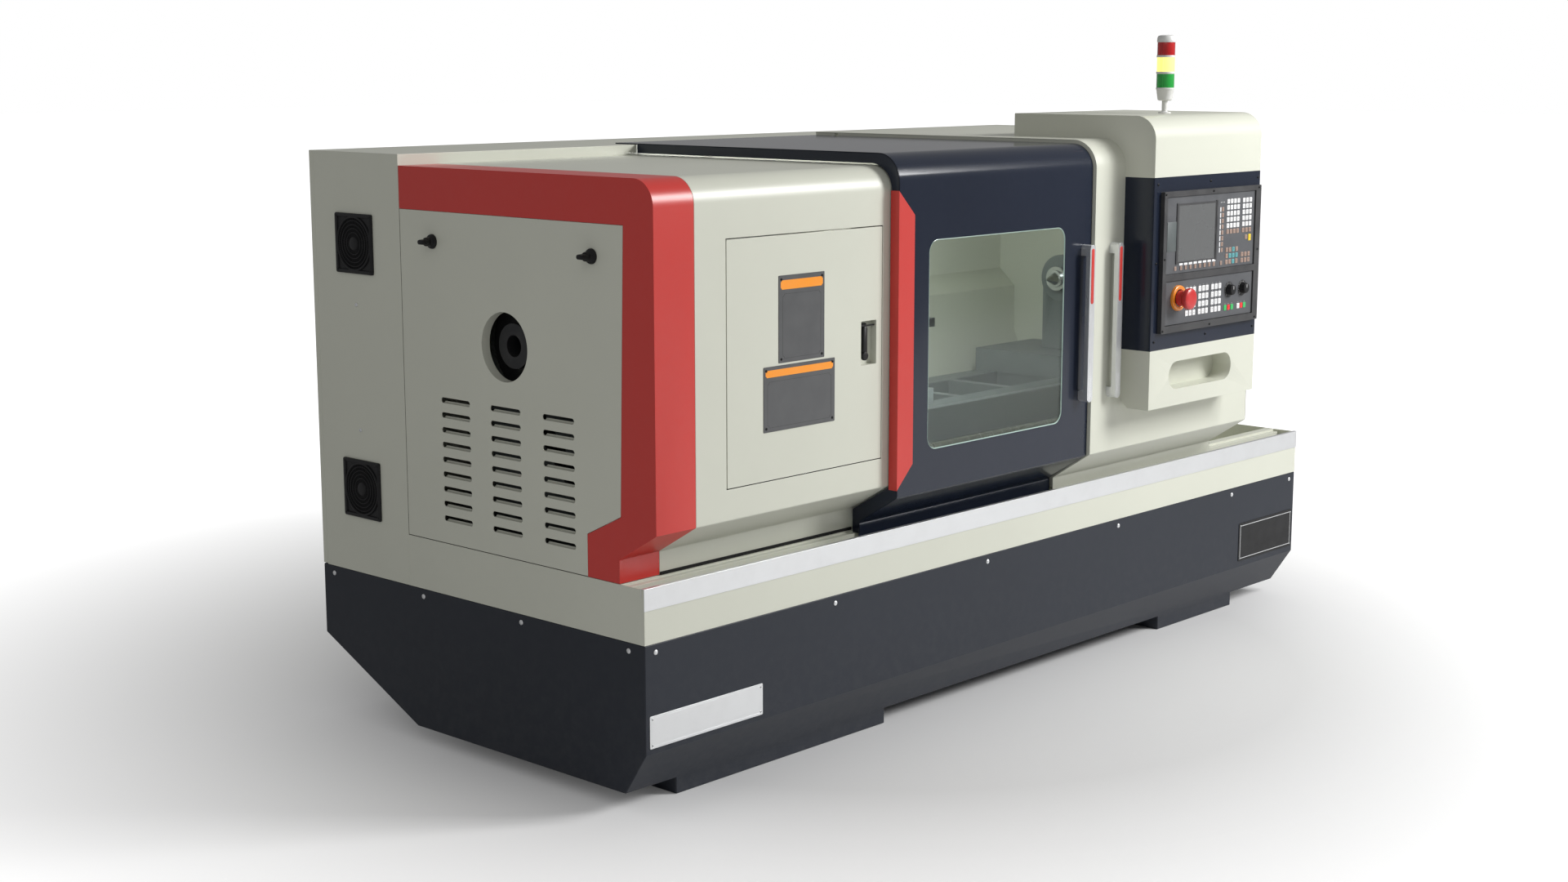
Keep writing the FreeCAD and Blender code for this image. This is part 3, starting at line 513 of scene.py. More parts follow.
def clearGlass(name, colour, roughness=0.02):
    material, tree, shader = emptyMaterial(name)
    place = addNode(tree, "ShaderNodeTexCoord")
    smear = addNode(tree, "ShaderNodeTexNoise", Scale=5.0, Detail=5.0)
    tree.links.new(place.outputs["Object"], smear.inputs["Vector"])
    tree.links.new(span(tree, smear.outputs[0], 0.45, 0.8, roughness, roughness + 0.07), shader.inputs["Roughness"])
    shader.inputs["Base Color"].default_value = (*colour, 1)
    shader.inputs["Transmission Weight"].default_value = 1.0
    shader.inputs["IOR"].default_value = 1.3
    return material


look = {
    "cream": (0.64, 0.65, 0.56),
    "navy": (0.013, 0.018, 0.033),
    "plinth": (0.016, 0.020, 0.030),
    "red": (0.60, 0.042, 0.034),
    "silver": (0.78, 0.79, 0.80),
}
cream = paint("creamPowderCoat", look["cream"], gloss=0.36, cloud=0.02, dust=0.05, peel=0.10)
navy = paint("navyGlossPaint", look["navy"], gloss=0.17, cloud=0.06, dust=0.012, peel=0.02, coat=0.12, shine=0.30)
plinthPaint = paint("navyPlinthPaint", look["plinth"], gloss=0.42, cloud=0.05, dust=0.035, peel=0.08, shine=0.35)
redPaint = paint("redTrimPaint", look["red"], gloss=0.33, cloud=0.03, dust=0.05, peel=0.06)
silver = metal("satinSilver", look["silver"], gloss=(0.28, 0.42), along=(3, 420, 420), depth=0.12, tarnish=0.05,
               metallic=0.75)
silverUp = metal("satinSilverUpright", look["silver"], gloss=(0.26, 0.40), along=(420, 420, 3), depth=0.12,
                 tarnish=0.05, metallic=0.75)
steel = metal("groundSteel", (0.60, 0.61, 0.62), gloss=(0.18, 0.34), along=(6, 260, 260), depth=0.2, tarnish=0.2)
turnedSteel = metal("turnedSteel", (0.56, 0.57, 0.58), gloss=(0.16, 0.30), along=(500, 8, 8), depth=0.25,
                    tarnish=0.15)
darkSteel = metal("blackenedSteel", (0.035, 0.036, 0.038), gloss=(0.35, 0.5), along=(500, 8, 8), depth=0.2,
                  tarnish=0.2, metallic=0.6)
iron = paint("castIronPaint", (0.16, 0.18, 0.18), gloss=0.5, cloud=0.10, dust=0.25, peel=0.5)
bedSteel = metal("scrapedWays", (0.36, 0.37, 0.38), gloss=(0.28, 0.5), along=(30, 160, 160), depth=0.3, tarnish=0.4)
motorPaint = paint("motorGreyPaint", (0.055, 0.06, 0.065), gloss=0.5, cloud=0.08, dust=0.3, peel=0.35)
blackPlastic = plastic("blackPlastic", (0.007, 0.007, 0.008), gloss=(0.34, 0.50), depth=0.2, veil=0.08, shine=0.3)
whitePlastic = plastic("whitePlastic", (0.72, 0.72, 0.70), gloss=(0.30, 0.42), depth=0.08)
darkSeal = plastic("doorSeal", (0.008, 0.008, 0.008), gloss=(0.6, 0.75), scale=700.0, depth=0.3, veil=0.1, shine=0.2)
rubber = plastic("beltRubber", (0.015, 0.015, 0.015), gloss=(0.6, 0.8), scale=500.0, depth=0.4)
print("paints, metals and plastics ready")


# plinth, tray and their trim
rivets = {"radius": 6.5, "rise": 3.2, "height": 389.5, "front": [34, 655, 1276, 1897, 2518, 2866],
          "end": [53, 430, 807, 1184]}


def domeProfile(radius, rise):
    bow = np.linspace(0, math.pi / 2, 6)
    return [(radius, 0.0)] + [(radius * math.cos(a), rise * (0.25 + 0.75 * math.sin(a))) for a in bow]


def makePlinth():
    softened("base_frame", plinthPaint, bevel=3.0, segments=3)
    dome = domeProfile(rivets["radius"], rivets["rise"])
    heads = [turned((x, 0, rivets["height"]), "front", dome, 20) for x in rivets["front"]]
    heads += [turned((0, y, rivets["height"]), "left", dome, 20) for y in rivets["end"]]
    makePiece("plinthRivets", combined(heads), "machine", silver, stands=["base_rivets"])


def makeTray():
    softened("chip_tray", cream, bevel=0.8)
    softened("tray_rim", silver, bevel=0.5)
    softened("front_sill", cream, bevel=0.8)


plates = {"data": (12.7, 390.0, 162.0, 240.0), "badge": (2568.0, 2889.0, 167.0, 289.0), "thick": 1.5}


def screwHead(centre, facing, radius=3.2, rise=2.0):
    # a button head with a hexagon socket sunk in it
    profile = [(radius, 0), (radius, rise * 0.35), (radius * 0.85, rise * 0.8), (radius * 0.6, rise),
               (radius * 0.42, rise), (radius * 0.40, rise * 0.4), (0.01, rise * 0.4)]
    return turned(centre, facing, profile, 18)


def makePlates():
    x0, x1, z0, z1 = plates["data"]
    centre = ((x0 + x1) / 2, 0, (z0 + z1) / 2)
    edge = [(0, 0), (0, 1.0), (0.5, 1.5)]
    data = slab(centre, x1 - x0, z1 - z0, 3, "front", edge)
    border = hoop(centre, x1 - x0 - 10, z1 - z0 - 10, 3, "front", [(0, 1.4), (0, 1.75), (1.4, 1.75), (1.4, 1.4)])
    makePiece("dataPlate", combined([data, border]), "machine", silver, stands=["name_plates"])
    pins = [screwHead((x, -1.5, z), "front", 2.6, 1.4) for x in (x0 + 8, x1 - 8) for z in (z0 + 8, z1 - 8)]
    x0, x1, z0, z1 = plates["badge"]
    centre = ((x0 + x1) / 2, 0, (z0 + z1) / 2)
    badge = slab(centre, x1 - x0, z1 - z0, 6, "front", edge)
    makePiece("badgePlate", badge, "machine", blackPlastic)
    border = hoop(centre, x1 - x0 - 16, z1 - z0 - 16, 4, "front", [(0, 1.4), (0, 1.8), (2.0, 1.8), (2.0, 1.4)])
    makePiece("badgeBorder", border, "machine", silver)
    pins += [screwHead((x, -1.5, z), "front", 3.0, 1.6) for x in (x0 + 9, x1 - 9) for z in (z0 + 9, z1 - 9)]
    makePiece("plateScrews", combined(pins), "machine", steel)


makePlinth()
makeTray()
makePlates()
print("plinth and tray made")


# rear cabinet and its fans
fan = {"square": 152.0, "y": 1046.25, "heights": (1266.5, 634.0), "fins": 72, "rings": (28, 38, 48, 58), "hub": 15.0}
cabinetScrewAt = {"y": 1048, "heights": (1111, 788)}


def fanGrille(z):
    centre = (0, fan["y"], z)
    half = fan["square"] / 2
    frameRing = hoop(centre, 2 * half, 2 * half, 5, "left", [(0, 0), (0, 4.5), (1.5, 6), (9, 6), (10, 3.5), (11, 0)])
    corners = slab(centre, 2 * half - 20, 2 * half - 20, 4, "left", [(0, 0.2), (0, 2.6)])
    lip = turnedRing(centre, "left", [(70, 2), (70, 5.2), (68, 6.4), (66, 6.4), (64.5, 5.0), (64.5, 2)])
    rings = [turnedRing(centre, "left", [(r + 1.1, 2.8), (r + 1.1, 5.0), (r - 1.1, 5.0), (r - 1.1, 2.8)], 56)
             for r in fan["rings"]]
    hub = turned(centre, "left", [(fan["hub"] + 2, 2), (fan["hub"] + 2, 4.8), (fan["hub"], 6), (fan["hub"] - 5, 6.6),
                                  (0.01, 6.8)], 32)
    angle = np.linspace(0, 2 * math.pi, fan["fins"], endpoint=False)
    # each fin is a thin bar laid along a radius
    bar = np.array([[p, q, h] for h in (3.0, 4.6) for p, q in ((16, -0.45), (65.5, -0.6), (65.5, 0.6), (16, 0.45))])
    turn = np.stack([np.stack([np.cos(angle), -np.sin(angle)], -1), np.stack([np.sin(angle), np.cos(angle)], -1)], 1)
    flat = np.einsum("aij,kj->aki", turn, bar[:, :2])
    fins = onFace(flat, np.broadcast_to(bar[:, 2], flat.shape[:2]), centre, "left").reshape(-1, 3)
    one = [[0, 1, 5, 4], [1, 2, 6, 5], [2, 3, 7, 6], [3, 0, 4, 7], [3, 2, 1, 0], [4, 5, 6, 7]]
    finFaces = [[v + 8 * k for v in face] for k in range(fan["fins"]) for face in one]
    screws = [screwHead((-6, fan["y"] + a * (half - 8), z + b * (half - 8)), "left", 3.0, 1.2) for a in (-1, 1)
              for b in (-1, 1)]
    return [frameRing, corners, lip, hub] + rings + [(fins, finFaces)] + screws


def makeCabinet():
    softened("rear_cabinet", cream, bevel=1.5, segments=3)
    softened("electrical_door", cream, bevel=1.2, segments=3)
    softened("door_lock", blackPlastic, bevel=1.0)
    grilles = [part for z in fan["heights"] for part in fanGrille(z)]
    makePiece("fanGrilles", combined(grilles), "machine", blackPlastic, bevel=0.25, segments=1,
              angle=60, stands=["fan_guards"])
    small = [screwHead((0, cabinetScrewAt["y"], z), "left", 5.0, 3.0) for z in cabinetScrewAt["heights"]]
    makePiece("cabinetScrews", combined(small), "machine", silver)
    for node in ("fan_rotor_upper", "fan_rotor_lower"):
        softened(node, blackPlastic, bevel=0.5)


makeCabinet()
print("cabinet made")


# left end: red frame, louvred panel, turn knobs
louvres = {"columns": (660.0, 473.0, 283.5), "rows": 9, "pitch": 37.0, "top": 902.0, "length": 110.0, "height": 14.0,
           "lip": 4.5}
holeAt = {"y": 471.5, "z": 1053.4, "radius": 83.5}
knobs = {"end_knob_rear": (732.7, 1289.5), "end_knob_front": (159.3, 1288.5)}
endPanel = {"back": 859.2, "top": 1362.8, "frontTop": 56.1, "bend": (74.8, 699.7), "knee": (188.8, 644.0),
            "bottom": 543.2}
coverSkin = {"x0": 126.5, "x1": 829.0, "top": 1468.6, "face": -41.8, "bend": 671.3, "skirt": 80.1, "knee": 598.9,
             "radius": 62.0, "bottom": 542.5, "back": 861.5}


def skinCorners(s, grow=0.0, back=None, bottom=None, soft=6.0):
    # roof, rounded shoulder, face, slope and skirt, all moved outwards by grow
    run, drop = s["skirt"] - s["face"], s["bend"] - s["knee"]
    shift = grow * drop / run - grow * math.hypot(run, drop) / run
    return [(s["back"] if back is None else back, s["top"] + grow, 0),
            (s["face"] - grow, s["top"] + grow, s["radius"] + grow),
            (s["face"] - grow, s["bend"] + shift, soft), (s["skirt"] - grow, s["knee"] + shift, soft),
            (s["skirt"] - grow, s["bottom"] if bottom is None else bottom, 0)]


def makeEnd():
    softened("end_frame", redPaint, bevel=1.2, segments=3)
    e = endPanel
    outline = np.array([(e["back"], e["top"]), (e["frontTop"], e["top"]), e["bend"], e["knee"],
                        (e["knee"][0], e["bottom"]), (e["back"], e["bottom"])])[::-1]
    sheet = makePiece("louvrePanel", alongX(outline, 0, sheetThick), "machine", cream, bevel=0.8,
                      stands=["end_panel"])
    slots, lips = [], []
    angle = np.linspace(0, math.pi / 2, 7)
    lip, half = louvres["lip"], louvres["length"] / 2 - 4
    for y in louvres["columns"]:
        for row in range(louvres["rows"]):
            z = louvres["top"] - row * louvres["pitch"]
            slots.append(slab((sheetThick, y, z), louvres["length"], louvres["height"], 6.9, "left",
                              [(0, -6), (0, 12)], 4))
            # pressed lip below each slot: a quarter round that rises as it runs inwards
            foot = z - louvres["height"] / 2
            arc = np.column_stack([1.0 + 2 * lip * np.sin(angle), foot - 0.5 + lip * (1 - np.cos(angle))])
            section = np.vstack([arc, (arc - [0, 1.2])[::-1]])
            lips.append(ringStack([np.column_stack([section[:, 0], np.full(len(section), y + side * half),
                                                    section[:, 1]]) for side in (-1, 1)]))
    knobHoles = [turned((sheetThick, y, z), "left", [(6.0, -6), (6.0, 12)], 20) for y, z in knobs.values()]
    barHole = turned((sheetThick, holeAt["y"], holeAt["z"]), "left",
                     [(holeAt["radius"], -6), (holeAt["radius"], 12)], 64)
    cutAway(sheet, combined(slots), combined(knobHoles), barHole)
    makePiece("louvreLips", combined(lips), "machine", cream)
    # painted shade: dark bands laid in the gaps at the panel's back and bottom edges make the seams dark
    seamShadeStrips = [block(1.4, 2.6, 859.0, 861.5, 542.6, 1362.5), block(1.4, 2.6, 189.5, 860.0, 541.6, 543.6)]
    makePiece("panelSeamShade", combined(seamShadeStrips), "machine", darkSeal)
    r = holeAt["radius"]
    collar = turnedRing((0, holeAt["y"], holeAt["z"]), "left",
                        [(r, -1), (r, -25), (r + 3, -25), (r + 3, -3), (r + 3, -2.9), (r + 1.1, -0.4)], 72)
    makePiece("holeCollar", collar, "machine", cream)
    for node, (y, z) in knobs.items():
        makeKnob(node, y, z)


def makeKnob(node, y, z):
    centre = (0, y, z)
    base = turned(centre, "left", [(5.5, -14), (5.5, 0.3), (18, 0.4), (18, 3), (16.5, 6.5), (12, 8.5), (10.5, 11),
                                   (10, 15), (11, 19), (10, 22), (0.01, 22.5)], 40)
    # wing that narrows towards its tip, as a loft of rounded outlines
    rings = [onFace(roundedOutline(w, t, t / 2 - 0.1, 5), np.full(24, float(h)), centre, "left")
             for w, t, h in ((20, 12, 12), (24, 12.5, 17), (25, 12.5, 26), (24.5, 12, 33), (22, 10.5, 36.8),
                             (17, 7.0, 38))]
    makePiece(node + "Grip", combined([base, ringStack(rings)]), bodyOf[node], blackPlastic,
              stands=[node])


makeEnd()
print("left end made")


# headstock cover with its access door
access = {"x0": 228.5, "x1": 777.0, "z0": 746.2, "z1": 1324.0, "seam": 1.5}
latch = {"x0": 699.0, "x1": 756.0, "z0": 986.3, "z1": 1095.0}
signs = {"upper": (402.5, 563.0, 1022.5, 1228.5), "lower": (350.5, 601.0, 862.3, 1017.4)}
signGrey = plastic("signPrintGrey", (0.085, 0.087, 0.09), gloss=(0.28, 0.36), scale=400.0, depth=0.03)
signOrange = plastic("signPrintOrange", (0.98, 0.33, 0.02), gloss=(0.28, 0.36), scale=400.0, depth=0.03)
signLine = plastic("signPrintLine", (0.03, 0.03, 0.032), gloss=(0.3, 0.4), scale=400.0, depth=0.03)


def notchedOutline(width, height, notch, steps=5):
    # a rectangle whose corners are scooped out by quarter circles, anticlockwise
    quarter = np.array([math.pi * 1.5, 0, math.pi * 0.5,
                        math.pi])[:, None] - np.linspace(0, math.pi / 2, steps + 1)[None, :]
    middles = np.array([[1, 1], [-1, 1], [-1, -1], [1, -1]]) * np.array([width / 2, height / 2])
    return (middles[:, None, :] + notch * np.stack([np.cos(quarter), np.sin(quarter)], -1)).reshape(-1, 2)


def flatShape(outline, centre, facing, low, high):
    rings = [onFace(outline, np.full(len(outline), float(h)), centre, facing) for h in (low, high)]
    return ringStack(rings)


def outlineRibbon(outline, inner, centre, facing, low, high):
    # the band between two outlines with equal counts of points
    corners = ((outline, low), (outline, high), (inner, high), (inner, low))
    return closedStack([onFace(o, np.full(len(o), float(h)), centre, facing) for o, h in corners])


def makeSign(name, place):
    x0, x1, z0, z1 = place
    width, height = x1 - x0, z1 - z0
    face = coverSkin["face"]
    centre = ((x0 + x1) / 2, face, (z0 + z1) / 2)
    back = slab(centre, width, height, 2, "front", [(0, 0), (0, 0.9), (0.3, 1.2)])
    makePiece(name + "Sheet", back, "access_leaf", signGrey)
    bandHigh = min(height * 0.11, 22.0)
    top = z1 - height * 0.055 - bandHigh / 2
    band = flatShape(notchedOutline(width - 13, bandHigh, 4.0), (centre[0], face, top), "front", 1.1, 1.35)
    makePiece(name + "Band", band, "access_leaf", signOrange)
    w, h = width - 26, height - 20 - bandHigh - height * 0.055
    middle = (centre[0], face, z0 + 10 + h / 2)
    ribbon = outlineRibbon(notchedOutline(w, h, 6), notchedOutline(w - 1.6, h - 1.6, 6), middle, "front", 1.1, 1.3)
    makePiece(name + "Outline", ribbon, "access_leaf", signLine)
    pins = [screwHead((centre[0] + a * (width / 2 - 9), face - 1.1, centre[2] + b * (height / 2 - 9)), "front", 3.4,
                      1.6)
            for a in (-1, 1) for b in (-1, 1)]
    makePiece(name + "Pins", combined(pins), "access_leaf", blackPlastic)


def makeCover():
    path = roundedPath(skinCorners(coverSkin))
    skin = makePiece("coverSkin", foldedSheet(path, sheetThick, coverSkin["x0"], coverSkin["x1"]), "machine",
                     cream, bevel=1.0)
    a = access
    hole = block(a["x0"] - a["seam"], a["x1"] + a["seam"], -60, -30, a["z0"] - a["seam"], a["z1"] + a["seam"])
    cutAway(skin, hole)
    # rubber wiper along the cover's lower edge, where chips would creep under
    makePiece("coverWiper", block(127, 804, 76.6, 79.9, 541.8, 549.5), "machine", darkSeal,
              bevel=0.8)
    band = block(a["x0"] - 20, a["x1"] + 20, -38.5, -35.5, a["z0"] - 20, a["z1"] + 20)
    seal = makePiece("coverDoorSeal", band, "machine", darkSeal)
    cutAway(seal, block(a["x0"] - 0.7, a["x1"] + 0.7, -60, -20, a["z0"] - 0.7, a["z1"] + 0.7))
    wall = alongX(np.vstack([roundedPath(skinCorners(coverSkin, -3.0)), [(coverSkin["back"], coverSkin["bottom"])]]),
                  coverSkin["x1"] - sheetThick, coverSkin["x1"])
    inner = makePiece("coverEndWall", wall, "machine", cream, stands=["headstock_cover"])
    cutAway(inner, turned((800, holeAt["y"], holeAt["z"]), "right", [(133, 0), (133, 60)], 64),
            block(800, 850, 220, 696, 400, 766))


def makeAccessDoor():
    a, face = access, coverSkin["face"]
    centre = ((a["x0"] + a["x1"]) / 2, face, (a["z0"] + a["z1"]) / 2)
    width, height = a["x1"] - a["x0"], a["z1"] - a["z0"]
    pan = slab(centre, width - 2.0, height - 2.0, 2.0, "front", [(0, -14), (0, -0.01)], 3)
    door = makePiece("accessPan", pan, "access_leaf", cream, bevel=1.0,
                     stands=["access_door", "sign_plates"])
    hollow = block(a["x0"] + 3, a["x1"] - 3, face + 3, face + 30, a["z0"] + 3, a["z1"] - 3)
    lx, lz = (latch["x0"] + latch["x1"]) / 2, (latch["z0"] + latch["z1"]) / 2
    lw, lh = latch["x1"] - latch["x0"], latch["z1"] - latch["z0"]
    cutAway(door, hollow, slab((lx, face, lz), lw, lh, 3, "front", [(0, -25), (0, 10)], 3))
    cup = hoop((lx, face, lz), lw + 5, lh + 5, 4, "front",
               [(0, -2.6), (0, -21), (5.0, -21), (2.6, -19), (2.55, -0.5), (1.2, -0.2), (0.8, -2.6)], 4)
    floorOfCup = slab((lx, face, lz), lw, lh, 3, "front", [(0, -21), (0, -18)], 3)
    makePiece("latchCup", combined([cup, floorOfCup]), "access_leaf", cream)
    makeSign("upperSign", signs["upper"])
    makeSign("lowerSign", signs["lower"])


def makeLatch():
    face = coverSkin["face"]
    plate = slab((716.5, face, 1046), 33, 84, 2, "front", [(0, -17.8), (0, -13.0), (1.0, -12.0)], 3)
    makePiece("latchPlate", plate, "access_leaf", blackPlastic)
    lever = []
    for w, h, r, rise in ((17, 78, 8, -11.6), (17, 78, 8, -7.5), (15.5, 76.5, 7.4, -5.6), (12.5, 73.5, 6, -4.6)):
        lever.append(onFace(roundedOutline(w, h, r, 6), np.full(28, float(rise)), (721, face, 1043), "front"))
    pad = []
    for r, rise in ((11, -9), (11, -4.0), (10, -2.2), (7, -1.4), (0.01, -1.2)):
        pad.append((r, rise))
    grip = turned((719, face, 1008), "front", pad, 32)
    pivot = block(699.3, 755.7, face + 6.0, face + 10.0, 1080.5, 1084.5)
    makePiece("latchLever", combined([ringStack(lever), grip, pivot]), "access_lever", blackPlastic,
              bevel=0.3, stands=["access_latch"])


makeCover()
makeAccessDoor()
makeLatch()
print("headstock cover made")


# the two sliding leaves
leftSkin = {"top": 1499.5, "face": -70.3, "bend": 642.1, "skirt": 52.7, "knee": 563.8, "radius": 68.0,
            "bottom": 522.0, "back": 945.0, "x0": 805.7, "x1": 1625.6}
rightSkin = {"top": 1509.5, "face": -80.3, "bend": 645.1, "skirt": 42.7, "knee": 564.8, "radius": 78.0,
             "bottom": 522.0, "back": 945.0, "x0": 1627.6, "x1": 2446.2}
leafFlange = {"bottom": 535.3, "back": 857.5}
window = {"x0": 925.4, "x1": 1503.9, "z0": 749.0, "z1": 1282.0, "radius": 34.0, "lap": 15.0, "glass": 5.0}
pull = {"z0": 799.0, "z1": 1230.0, "width": 25.0, "reach": 31.0, "left": 1578.0, "right": 1697.5}
glass = clearGlass("windowGlass", (0.86, 0.95, 0.91))
glassEdge = plastic("windowGlassEdge", (0.50, 0.66, 0.60), gloss=(0.08, 0.15), scale=300.0, depth=0.02, coat=0.5)


def bandBetween(first, second, x0, x1):
    # flat band between two YZ paths, as a four-sided section carried along both
    rings = np.stack([np.column_stack([np.full(len(p), x), p])
                      for p, x in ((first, x0), (first, x1), (second, x1), (second, x0))], 1)
    return ringStack(rings)


def endFlange(outer, inner, x0, x1, bottom, back):
    return bandBetween(roundedPath(skinCorners(outer, 0.0, back, bottom)),
                       roundedPath(skinCorners(inner, 5.0, back, bottom)), x0, x1)


def makeLeaf(name, skin, material, body, node, flangeX):
    path = roundedPath(skinCorners(skin))
    shell = makePiece(name + "Skin", foldedSheet(path, sheetThick, skin["x0"], skin["x1"]), body, material,
                      bevel=1.0, stands=[node])
    f = leafFlange
    rest = [endFlange(skin, coverSkin, *flangeX, f["bottom"], f["back"]),
            block(skin["x0"] + sheetThick, skin["x1"] - sheetThick, skin["skirt"] + 2, 76, f["bottom"],
                  f["bottom"] + sheetThick)]
    makePiece(name + "Flange", combined(rest), body, material, bevel=0.6)
    # the free vertical edge is turned in, which stiffens the sheet
    edge = skin["x1"] if flangeX[0] < skin["x0"] + 5 else skin["x0"]
    inward = -1 if edge == skin["x1"] else 1
    a, b = (roundedPath(skinCorners(skin, -depth, 855.0, 540.0)) for depth in (2.9, 22.0))
    x0, x1 = sorted((edge, edge + inward * 2.5))
    makePiece(name + "Return", bandBetween(a, b, x0, x1), body, material, bevel=0.5)
    return shell


def makeHandle(node, x, face, material):
    softened(node, material, bevel=2.2, segments=3)
    body = bodyOf[node]
    middle = x + pull["width"] / 2
    top, bottom = pull["z1"], pull["z0"]
    height = (top - bottom) * 0.35
    insert = slab((middle, face - pull["reach"], top - 10 - height / 2), 13, height, 6.5, "front",
                  [(0, -0.2), (0, 0.35), (0.6, 0.7)])
    makePiece(node + "Insert", insert, body, redPaint)
    # grip dots in staggered rows near the lower end
    dots = []
    for row in range(13):
        z = bottom + 14 + row * 4.6
        xs = middle + (np.arange(4) - 1.5 + (0.5 if row % 2 else 0)) * 4.2
        dots += [turned((float(p), face - pull["reach"], float(z)), "front",
                        [(1.25, -0.2), (1.1, 0.35), (0.6, 0.65), (0.01, 0.7)], 8) for p in xs
                        if abs(p - middle) < 8.5]
    makePiece(node + "Grip", combined(dots), body, silverUp)


def makeLeftLeaf():
    s = leftSkin
    shell = makeLeaf("leftLeaf", s, navy, "left_leaf", "left_door", (s["x0"], s["x0"] + 3.0))
    w = window
    cx, cz = (w["x0"] + w["x1"]) / 2, (w["z0"] + w["z1"]) / 2
    wide, high = w["x1"] - w["x0"], w["z1"] - w["z0"]
    cutAway(shell, slab((cx, s["face"], cz), wide, high, w["radius"], "front", [(0, -12), (0, 12)], 12))
    pane = slab((cx, s["face"], cz), wide + 2 * w["lap"], high + 2 * w["lap"], w["radius"] + w["lap"], "front",
                [(0, -3 - w["glass"]), (0, -3.02)], 12)
    makePiece("windowPane", pane, "left_leaf", glass, stands=["window_glass"])
    lip = hoop((cx, s["face"], cz), wide, high, w["radius"], "front",
               [(0.2, -2.9), (0.2, -0.6), (1.0, -0.3), (2.6, -2.2), (2.6, -2.9)], 12)
    makePiece("windowEdge", lip, "left_leaf", glassEdge)
    softened("door_trim", redPaint, bevel=0.7)
    makeHandle("left_handle", pull["left"], s["face"], silverUp)


def makeRightLeaf():
    s = rightSkin
    makeLeaf("rightLeaf", s, cream, "right_leaf", "right_door", (s["x1"] - 3.0, s["x1"]))
    runner = block(s["x0"] + 1, s["x1"] - 1, 867.5, 944.0, 1496.5, 1506.5)
    makePiece("rightLeafRunner", runner, "right_leaf", cream, bevel=1.0)
    makeHandle("right_handle", pull["right"], s["face"], silverUp)


makeLeftLeaf()
makeRightLeaf()
print("leaves made")


# console on the right leaf
console = {"x0": 1766.5, "x1": 2318.6, "face": -176.0, "high": 1405.6, "hoodTop": 1573.0,
           "hoodBack": 303.0, "hoodRadius": 65.0}
bezel = {"x0": 1799.5, "x1": 2307.0, "z0": 974.0, "z1": 1366.0, "rise": 13.0, "panelRise": 9.0}
screen = {"x0": 1879.5, "x1": 2066.0, "z0": 1170.0, "z1": 1325.5}
keySizes = {"small": (13.2, 13.0), "soft": (10.5, 12.0), "large": (14.2, 15.5)}
panelGrey = plastic("panelPrintGrey", (0.080, 0.083, 0.090), gloss=(0.38, 0.5), scale=1500.0, depth=0.12)
bezelGrey = plastic("bezelGrey", (0.040, 0.040, 0.042), gloss=(0.34, 0.45), scale=1100.0, depth=0.25)
keyColours = {"white": (0.80, 0.80, 0.80), "brown": (0.33, 0.23, 0.185), "teal": (0.10, 0.34, 0.36),
              "yellow": (0.80, 0.56, 0.04), "green": (0.04, 0.46, 0.12), "red": (0.78, 0.03, 0.03)}
keyFinish = {name: plastic("key" + name.capitalize(), colour, gloss=(0.3, 0.4), scale=1500.0, depth=0.05)
             for name, colour in keyColours.items()}
keyMark = plastic("keyMark", (0.03, 0.03, 0.035), gloss=(0.4, 0.5), scale=1500.0, depth=0.02)
stopOrange = plastic("stopRingOrange", (0.86, 0.27, 0.015), gloss=(0.25, 0.38), scale=700.0, depth=0.05, coat=0.3)
stopRed = plastic("stopRed", (0.56, 0.02, 0.02), gloss=(0.28, 0.42), scale=700.0, depth=0.06, coat=0.3)
coverFlap = plastic("portFlap", (0.085, 0.10, 0.10), gloss=(0.4, 0.5), scale=1200.0, depth=0.1)


def displaySheet():
    # dead screen: dark grey film with a faint dot weave under a smooth face
    material, tree, shader = emptyMaterial("displaySheet")
    place = addNode(tree, "ShaderNodeTexCoord")
    fine = addNode(tree, "ShaderNodeTexChecker", Scale=900.0)
    fine.inputs["Color1"].default_value = (0.135, 0.138, 0.138, 1)
    fine.inputs["Color2"].default_value = (0.120, 0.123, 0.124, 1)
    tree.links.new(place.outputs["Object"], fine.inputs["Vector"])
    wash = addNode(tree, "ShaderNodeTexNoise", Scale=9.0, Detail=3.0)
    tree.links.new(place.outputs["Object"], wash.inputs["Vector"])
    shade = span(tree, wash.outputs[0], 0.35, 0.7, 0.0, 0.35)
    tree.links.new(mixColour(tree, shade, fine.outputs[0], (0.10, 0.105, 0.105, 1)), shader.inputs["Base Color"])
    tree.links.new(span(tree, wash.outputs[0], 0.3, 0.7, 0.22, 0.32), shader.inputs["Roughness"])
    return material


def cap(x, z, width, height, rise):
    return slab((x, console["face"] - rise, z), width, height, 1.4, "front",
                [(0, 0), (0, 0.9), (0.5, 1.35), (1.1, 1.5)], 2)


def keyMarks(x, z, width, height, rise, seed):
    # a small generic stroke pair, so that a key doesn't look blank from close by
    y = console["face"] - rise
    turn = (seed * 7 + int(x) + int(z)) % 3
    if turn == 0:
        bars = [(x - width * 0.18, x + width * 0.18, z - 0.4, z + 0.4)]
    elif turn == 1:
        bars = [(x - 0.4, x + 0.4, z - height * 0.2, z + height * 0.2),
                (x - width * 0.14, x + width * 0.14, z + height * 0.16, z + height * 0.2 + 0.5)]
    else:
        bars = [(x - width * 0.16, x + width * 0.16, z + 1.6, z + 2.3),
                (x - width * 0.16, x + width * 0.16, z - 2.3, z - 1.6)]
    return [block(a, b, y - 1.58, y - 1.45, c, d) for a, b, c, d in bars]


